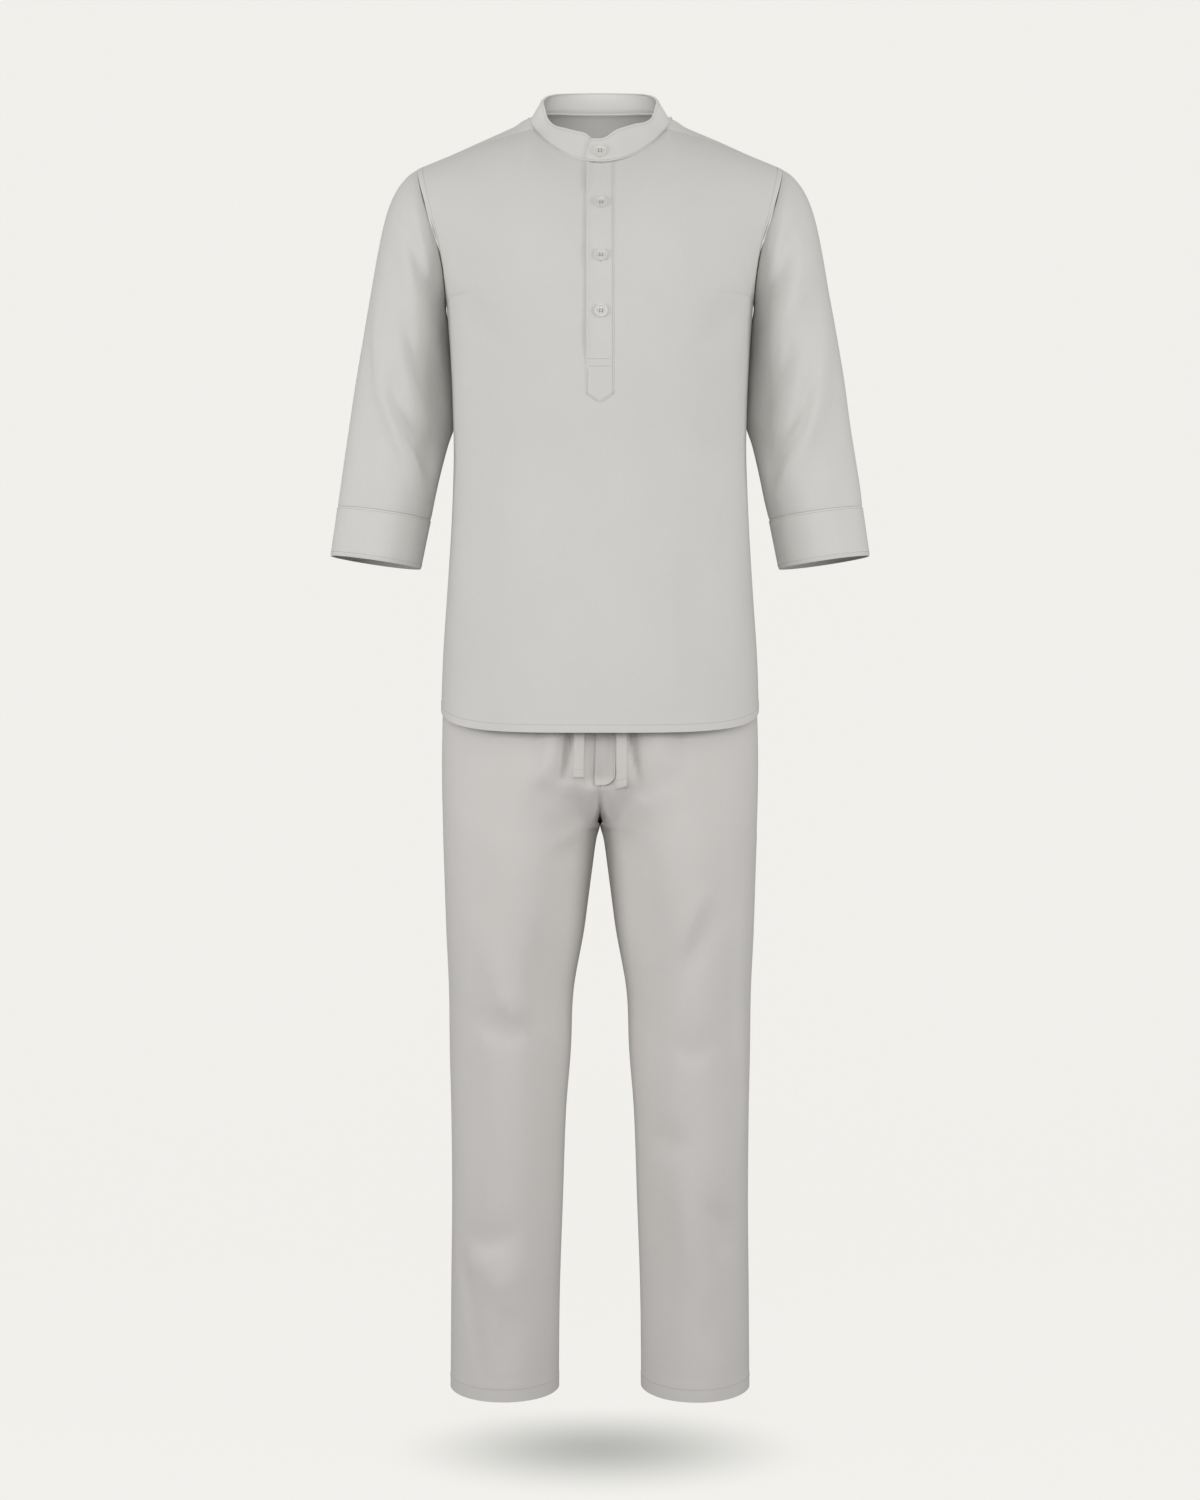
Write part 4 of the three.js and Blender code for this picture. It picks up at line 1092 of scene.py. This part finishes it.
def ring_points(ring, turn):
    out = (1 + np.cos(turn)) / 2
    x = ring["inner_x"] + (ring["outer_x"] - ring["inner_x"]) * out
    z = ring["inner_z"] + (ring["outer_z"] - ring["inner_z"]) * out
    inwards = np.maximum(0, 1 - out / INNER_SHARE) ** INNER_ROUND
    y = ring["back"] * (1 - out) ** 5 - ring["depth"] * np.sin(turn) * (1 - ring["fall"] * inwards)
    return np.stack([x, y, z], -1)


def armhole_points(turn):
    v = np.abs(1 - turn / np.pi)
    ahead = upper_point(np.ones_like(turn), v, "front")
    behind = upper_point(np.ones_like(turn), v, "back")
    points = np.where((turn <= np.pi)[:, None], ahead, behind)
    points[:, 0] += 0.3
    return points


def smooth_rows(knots, at):
    """Rows on smooth curves through the rows of a coarse grid."""
    gaps = np.linalg.norm(np.diff(knots, axis=0), axis=2).mean(1)
    keys = np.concatenate([[0], np.cumsum(gaps)])
    return smooth_between(keys, knots, at * keys[-1])


def ring_turns(side):
    """Turns round a sleeve, in the order that has its faces look outwards."""
    turn = np.linspace(0, 2 * np.pi, RING_COLUMNS + 1)[:-1]
    return turn[::-1] if side > 0 else turn


def sleeve(side_name):
    side = SIDES[side_name]
    turn = ring_turns(side)
    knots = [ring_points(ring, turn) for ring in reversed(SLEEVE_RINGS)]
    knots = np.stack([*knots, armhole_points(turn)])
    knots[..., 0] *= side
    rows = smooth_rows(knots, shares_with_edges(112, 420))
    x, y, z = rows[..., 0], rows[..., 1], rows[..., 2]
    from_cuff, from_armhole = from_ends(rows)
    facing_share = ramp(np.abs(y), 30)
    folds = np.where(y < 0, fold_height(SLEEVE_FOLDS, x, z), fold_height(BACK_SLEEVE_FOLDS, x, z))
    height = facing_share * folds + soft_waves(x + 0.5 * y, z, 40 + side, 120, 0.6)
    off_body = ramp(np.abs(x) - KURTA_SIDE_X, 30)
    height = np.where(np.abs(y) < 60, np.minimum(height, SLEEVE_RISE * off_body), height)
    height = height * ramp(from_cuff, 24) * ramp(from_armhole, 30)
    height = height + seam_dip(from_cuff, 0.5) + seam_dip(from_armhole, 0.5)
    rows = raised(rows, height, True)
    cloth = sew_shell(f"sleeve_{side_name}_cloth", rows, 1, "kurta_cloth", True)
    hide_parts(f"sleeve_{side_name}")


def cuff(side_name):
    side = SIDES[side_name]
    seam_ring = SLEEVE_RINGS[-1]
    length = seam_ring["outer_z"] - CUFF_END["outer_z"]
    shares = 1 - shares_with_edges(16, length, near=(0.4, 1, 2, 3.4)) * (1 - CUFF_GAP / length)
    rows = np.stack([
        ring_points({key: seam_ring[key] + (CUFF_END[key] - seam_ring[key]) * share
                     for key in CUFF_END}, ring_turns(side))
        for share in shares
    ])
    rows[..., 0] *= side
    from_end = (shares[0] - shares)[:, None] * length
    from_seam = (shares - shares[-1])[:, None] * length
    waves = soft_waves(rows[..., 0] + rows[..., 1], rows[..., 2], 50 + side, 90, 0.3)
    height = 0.5 + waves + seam_dip(from_end, 0.6, 1.4) + seam_dip(from_seam, 0.7, 1.6)
    rows = raised(rows, height, True)
    cloth = sew_shell(f"cuff_{side_name}_cloth", rows, CUFF_CLOTH, "kurta_cloth", True)
    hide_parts(f"cuff_{side_name}")
    return rows


cuff_grids = []
for side_name in SIDES:
    sleeve(side_name)
    cuff_grids.append(cuff(side_name))

# Collar
# A stand-up band of two layers with a stiffener between. Its left end laps over its right end at
# the centre front and has a rounded corner.
COLLAR_TOP_HEIGHTS = table(
    "ahead z",
    (-1, 54),
    (-0.475, 45),
    (0, 31),
    (0.149, 22),
    (0.312, 6.5),
    (0.527, -4.3),
    (0.714, -9.7),
    (0.866, -15),
    (0.954, -19),
    (1, -26.5),
)
COLLAR_TOP = dict(half=69.5, depth=59, back=-5, egg=0.2, heights=COLLAR_TOP_HEIGHTS)
OVER_END_TURN = math.radians(102.2)
UNDER_END_TURN = math.radians(-279)
LAP_START_TURN = math.radians(48)
LAP_END_TURN = math.radians(77.4)
COLLAR_CORNER = 11
COLLAR_CLEAR = -0.3
BAND_CLOTH = 2
BAND_THINNING = 1.2
OVER_SIDE_RISE = 5
OVER_SIDE_TURN = math.radians(95)
UNDER_END_DROP = 2.6
UNDER_DROP_TURN = math.radians(252)
UNDER_DROP_RUN = math.radians(14)
BAND_HEIGHT = 30


def collar_points(turn, rise, end_distance):
    low = loop_point(NECK_LOOP, turn)
    high = loop_point(COLLAR_TOP, turn)
    high[..., 2] += OVER_SIDE_RISE * np.sin(np.pi * ramp(turn, OVER_SIDE_TURN)) ** 1.5
    high[..., 2] -= UNDER_END_DROP * ramp(-turn - UNDER_DROP_TURN, UNDER_DROP_RUN)
    corner = np.maximum(0, 1 - end_distance / COLLAR_CORNER)
    drop = COLLAR_CORNER * (1 - np.sqrt(1 - corner * corner))
    tall = np.linalg.norm(high - low, axis=-1)
    share = COLLAR_CLEAR / tall + (1 - drop / tall - COLLAR_CLEAR / tall) * rise
    points = low + (high - low) * share[..., None]
    lap = ramp(turn - LAP_START_TURN, LAP_END_TURN - LAP_START_TURN)
    lift = lap * lap * (3 - 2 * lap) * (BAND_CLOTH + 0.4)
    points[..., 0] += lift * np.cos(turn)
    points[..., 1] -= lift * np.sin(turn)
    return points


def collar():
    end = np.array([0, 0.004, 0.009, 0.016, 0.026, 0.04, 0.06, 0.08, 0.1, 0.13, 0.16])
    rest = np.linspace(OVER_END_TURN - 0.19, UNDER_END_TURN, 210)
    turn = np.concatenate([OVER_END_TURN - end, rest])[None, :]
    rise = shares_with_edges(12, BAND_HEIGHT, near=(0.4, 0.9, 1.7, 2.8))[:, None]
    reach = (OVER_END_TURN - turn) * (NECK_LOOP["half"] - COLLAR_CORNER / 2)
    turn, rise_grid = np.broadcast_arrays(turn, rise)
    rows = collar_points(turn, rise_grid, np.broadcast_to(reach, turn.shape))
    edge = np.minimum(rise, 1 - rise) * BAND_HEIGHT
    up = rise_grid * BAND_HEIGHT
    rows = raised(rows, seam_dip(edge, 0.5, 1.2) + soft_waves(turn * 75, up, 61, 60, 0.18))
    thick = BAND_CLOTH - BAND_THINNING * bell(up, 3.5)
    band = sew_shell("collar_cloth", rows, thick, "kurta_cloth")
    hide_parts("collar")
    return rows


collar_rows = collar()

# Placket
# The upper strip of the half opening, folded double and laid on the front. Its right edge is
# stitched down all the way, its left edge only below the opening, and its foot is pointed.
PLACKET = dict(half=16, foot=-344, shoulder=-333.5, top=3.2)
PLACKET_LIFT = 1.0
OPENING_FOOT_Z = -300
CLOSING_STITCHES_Z = (-293.5, -302)
BUTTONS_Z = (-108.5, -173, -238)


def on_kurta_front(x, z):
    """The front of the kurta at x and z in the front view, without its folds."""
    x, z = np.broadcast_arrays(np.asarray(x, float), np.asarray(z, float))
    start = np.arcsin(np.abs(x) / UNDERARM_HALF) / (np.pi / 2)
    plain = body_point(start, z, "front")[..., 1]
    u = start.copy()
    for _ in range(6):
        low, high = np.zeros(x.shape), np.ones(x.shape)
        for _ in range(36):
            middle = (low + high) / 2
            below = upper_point(u, middle, "front")[..., 2] < z
            low, high = np.where(below, middle, low), np.where(below, high, middle)
        point = upper_point(u, low, "front")
        u = np.where(point[..., 0] > 0.01, u * np.abs(x) / np.maximum(point[..., 0], 0.01), u)
    return np.where(z > UNDERARM_Z, point[..., 1], plain)


def neck_seam_height(x):
    ahead = np.sqrt(1 - (x / (NECK_LOOP["half"] * (1 - NECK_LOOP["egg"]))) ** 2)
    return NECK_LOOP["side"] - NECK_LOOP["tilt"] * ahead - NECK_LOOP["sag"] * ahead * ahead


def placket():
    across = 2 * shares_with_edges(12, 32, near=(0.4, 1, 1.8, 2.8)) - 1
    x = PLACKET["half"] * across[None, :]
    share = shares_with_edges(96, 290, near=(0.4, 1, 1.8, 2.8))[:, None]
    foot = PLACKET["foot"] + (PLACKET["shoulder"] - PLACKET["foot"]) * np.abs(across)[None, :]
    z = foot + (neck_seam_height(x) - PLACKET["top"] - foot) * share
    x = np.broadcast_to(x, z.shape)
    rows = np.stack([x, on_kurta_front(x, z), z], 2)
    from_top = neck_seam_height(x) - z
    lift = kurta_drape(x, z, "front") * ramp(from_top, 40)
    edge = (1 - np.abs(across))[None, :] * PLACKET["half"]
    lift = lift + PLACKET_LIFT + seam_dip(edge, 0.45, 1.2)
    open_edge = ramp(z - OPENING_FOOT_Z, 12) * bell(across[None, :] + 1, 0.24)
    lift = lift + open_edge * (1.7 + 0.5 * np.sin(z / 15) + 0.3 * np.sin(z / 7.3))
    rows = raised(rows, lift)
    strip = sew_shell("placket_cloth", rows, 1.1, "kurta_cloth")
    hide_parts("placket")
    return rows


placket_rows = placket()

# Buttons
# Four-hole shirt buttons of cast resin, 15 mm across, with a raised rim and a dished middle. Each
# is sewn on through its four holes with two bars of thread and rides on the strip or the band.
BUTTON_RADIUS = 0.0074
BUTTON_THICK = 0.003
BUTTON_HOLE = 0.0009
BUTTON_SPREAD = 0.0015
BUTTON_FACE = table(
    "width drop",
    (0.0006, 0),
    (0.0008, 0),
    (0.0007, 0.0006),
    (0.0006, 0.0001),
)
BUTTON_SEAT = 0.9
STRAND_RADIUS = 0.00026
STRAND_ASIDE = 0.00028


def button_look():
    material = bpy.data.materials.new("button_resin")
    material.use_nodes = True
    tree = material.node_tree
    fill(tree, tree.nodes["Principled BSDF"], Coat_Weight=0.15)
    cloud = object_noise(tree, 260, 3)
    shade_between(tree, cloud, (0.60, 0.59, 0.565), (0.68, 0.67, 0.645))
    vary_gloss(tree, cloud, 0.36, 0.48)
    return material


def deselect_all():
    for item in bpy.context.selected_objects:
        item.select_set(False)


def select_faces(obj, chosen):
    """Selects only the faces that chosen() takes, by their centre and normal, in edit mode."""
    bpy.ops.object.mode_set(mode="OBJECT")
    for vertex in obj.data.vertices:
        vertex.select = False
    for edge in obj.data.edges:
        edge.select = False
    for polygon in obj.data.polygons:
        polygon.select = bool(chosen(polygon.center, polygon.normal))
    bpy.ops.object.mode_set(mode="EDIT")
    bpy.ops.mesh.select_mode(type="FACE")


def drill_hole(button, x, y):
    bpy.ops.mesh.primitive_cylinder_add(vertices=16, radius=BUTTON_HOLE, depth=0.01,
                                        location=(x, y, 0.001))
    drill = bpy.context.object
    cut = button.modifiers.new("hole", "BOOLEAN")
    cut.operation = "DIFFERENCE"
    cut.solver = "EXACT"
    cut.object = drill
    deselect_all()
    bpy.context.view_layer.objects.active = button
    button.select_set(True)
    bpy.ops.object.modifier_apply(modifier=cut.name)
    bpy.data.objects.remove(drill)


def model_button():
    """One button lying flat at the origin, with its face up."""
    deselect_all()
    bpy.ops.mesh.primitive_cylinder_add(vertices=48, radius=BUTTON_RADIUS, depth=BUTTON_THICK,
                                        location=(0, 0, BUTTON_THICK / 2))
    button = bpy.context.object
    bpy.ops.object.mode_set(mode="EDIT")
    select_faces(button, lambda centre, normal: normal.z > 0.9)
    for ring in BUTTON_FACE:
        bpy.ops.mesh.inset(thickness=ring["width"])
        bpy.ops.transform.translate(value=(0, 0, -ring["drop"]))
    select_faces(button, lambda centre, normal: normal.z < -0.9)
    bpy.ops.mesh.inset(thickness=0.0012)
    bpy.ops.object.mode_set(mode="OBJECT")
    for x in (-BUTTON_SPREAD, BUTTON_SPREAD):
        for y in (-BUTTON_SPREAD, BUTTON_SPREAD):
            drill_hole(button, x, y)
    rounding = button.modifiers.new("rounding", "BEVEL")
    rounding.width = 0.00022
    rounding.segments = 3
    rounding.limit_method = "ANGLE"
    rounding.angle_limit = math.radians(40)
    bpy.ops.object.modifier_apply(modifier=rounding.name)
    bpy.ops.object.shade_smooth_by_angle(angle=math.radians(50))
    return button


def model_button_thread():
    """Two bars of thread over the dished middle, each in one hole and out of the next."""
    corners, faces = [], []
    arc = np.linspace(-1, 1, 9)
    angles = np.arange(8) * 2 * np.pi / 8
    for x in (-BUTTON_SPREAD, BUTTON_SPREAD):
        for strand in (-STRAND_ASIDE, STRAND_ASIDE):
            faces += tube_faces(len(corners), len(arc), len(angles))
            for t in arc:
                lift = BUTTON_THICK - 0.0013 + 0.0007 * (1 - t ** 4)
                for angle in angles:
                    corners.append((x + strand + STRAND_RADIUS * math.cos(angle),
                                    BUTTON_SPREAD * 1.02 * t,
                                    lift + STRAND_RADIUS * math.sin(angle)))
    return corners, faces


def seat_button(pattern, name, node, place, slope):
    """A copy of the button and its thread, just off the cloth at a place where it runs up slope."""
    right = np.array([1.0, 0, 0])
    outward = unit(np.array([0, -slope[2], slope[1]]))
    turn = np.stack([right, np.cross(outward, right), outward], 1)
    seat = (place + outward * BUTTON_SEAT) / 1000
    mesh = pattern.data.copy()
    mesh.name = name
    places = np.empty(len(mesh.vertices) * 3)
    mesh.vertices.foreach_get("co", places)
    places = places.reshape(-1, 3) @ turn.T + seat
    mesh.vertices.foreach_set("co", places.ravel())
    mesh.materials.append(button_resin)
    mesh.update()
    button = place_piece(name, mesh)
    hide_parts(node)
    corners, faces = model_button_thread()
    thread_mesh = bpy.data.meshes.new(f"{name}_thread")
    thread_mesh.from_pydata((np.array(corners) @ turn.T + seat).tolist(), [], faces)
    thread_mesh.shade_smooth()
    thread_mesh.materials.append(thread_look)
    place_piece(f"{name}_thread", thread_mesh)


button_resin = button_look()


def sew_on_buttons():
    pattern = model_button()
    turn = np.full(2, np.pi / 2)
    low, high = collar_points(turn, np.array([0.0, 1.0]), np.full(2, float(COLLAR_CORNER)))
    place = low + (high - low) * 0.46
    seat_button(pattern, "collar_button", "button_1", place, high - low)
    column = placket_rows[:, placket_rows.shape[1] // 2]
    for k, z in enumerate(BUTTONS_Z):
        under, place, over = read_line(np.array([z - 3, z, z + 3]), column[:, 2], column)
        seat_button(pattern, f"placket_button_{k + 1}", f"button_{k + 2}", place, over - under)
    bpy.data.objects.remove(pattern)


sew_on_buttons()


def kurta_stitches():
    """Topstitching of the kurta, from the armholes and the band to the placket and the hems."""
    lines = []
    for facing, rows in kurta_grids.items():
        lines.append(row_line(rows, False, KURTA_HEM))
        underarm = int(np.searchsorted(rows[:, 0, 2], UNDERARM_Z + 4))
        for side in (0, -1):
            lines.append(column_line(rows, side, 7, underarm, -2))
    front = kurta_grids["front"]
    count = front.shape[1]
    shoulder = [j for j in range(count) if abs(front[-1, j, 0]) > 77]
    for part in (shoulder[:len(shoulder) // 2], shoulder[len(shoulder) // 2:]):
        lines.append(row_line(front[:, part], True, 2.5))
    for cuff_rows in cuff_grids:
        lines.append(row_line(cuff_rows, True, 2.5, True))
        lines.append(row_line(cuff_rows, False, 5, True))
    lines.append(row_line(collar_rows, False, 1.8))
    lines.append(row_line(collar_rows, True, 3.2))
    lines.append(column_line(placket_rows, -1, 2))
    opening = int(np.searchsorted(placket_rows[:, 0, 2], OPENING_FOOT_Z))
    lines.append(column_line(placket_rows, 0, 2, 0, opening))
    lines.append(row_line(placket_rows, False, 2))
    normals = grid_normals(placket_rows)
    columns = range(3, placket_rows.shape[1] - 3)
    for z in CLOSING_STITCHES_Z:
        lines.append(tuple(
            np.array([read_line(z, placket_rows[:, j, 2], grid[:, j]) for j in columns])
            for grid in (placket_rows, normals)
        ))
    sew("kurta_stitches", lines)


kurta_stitches()
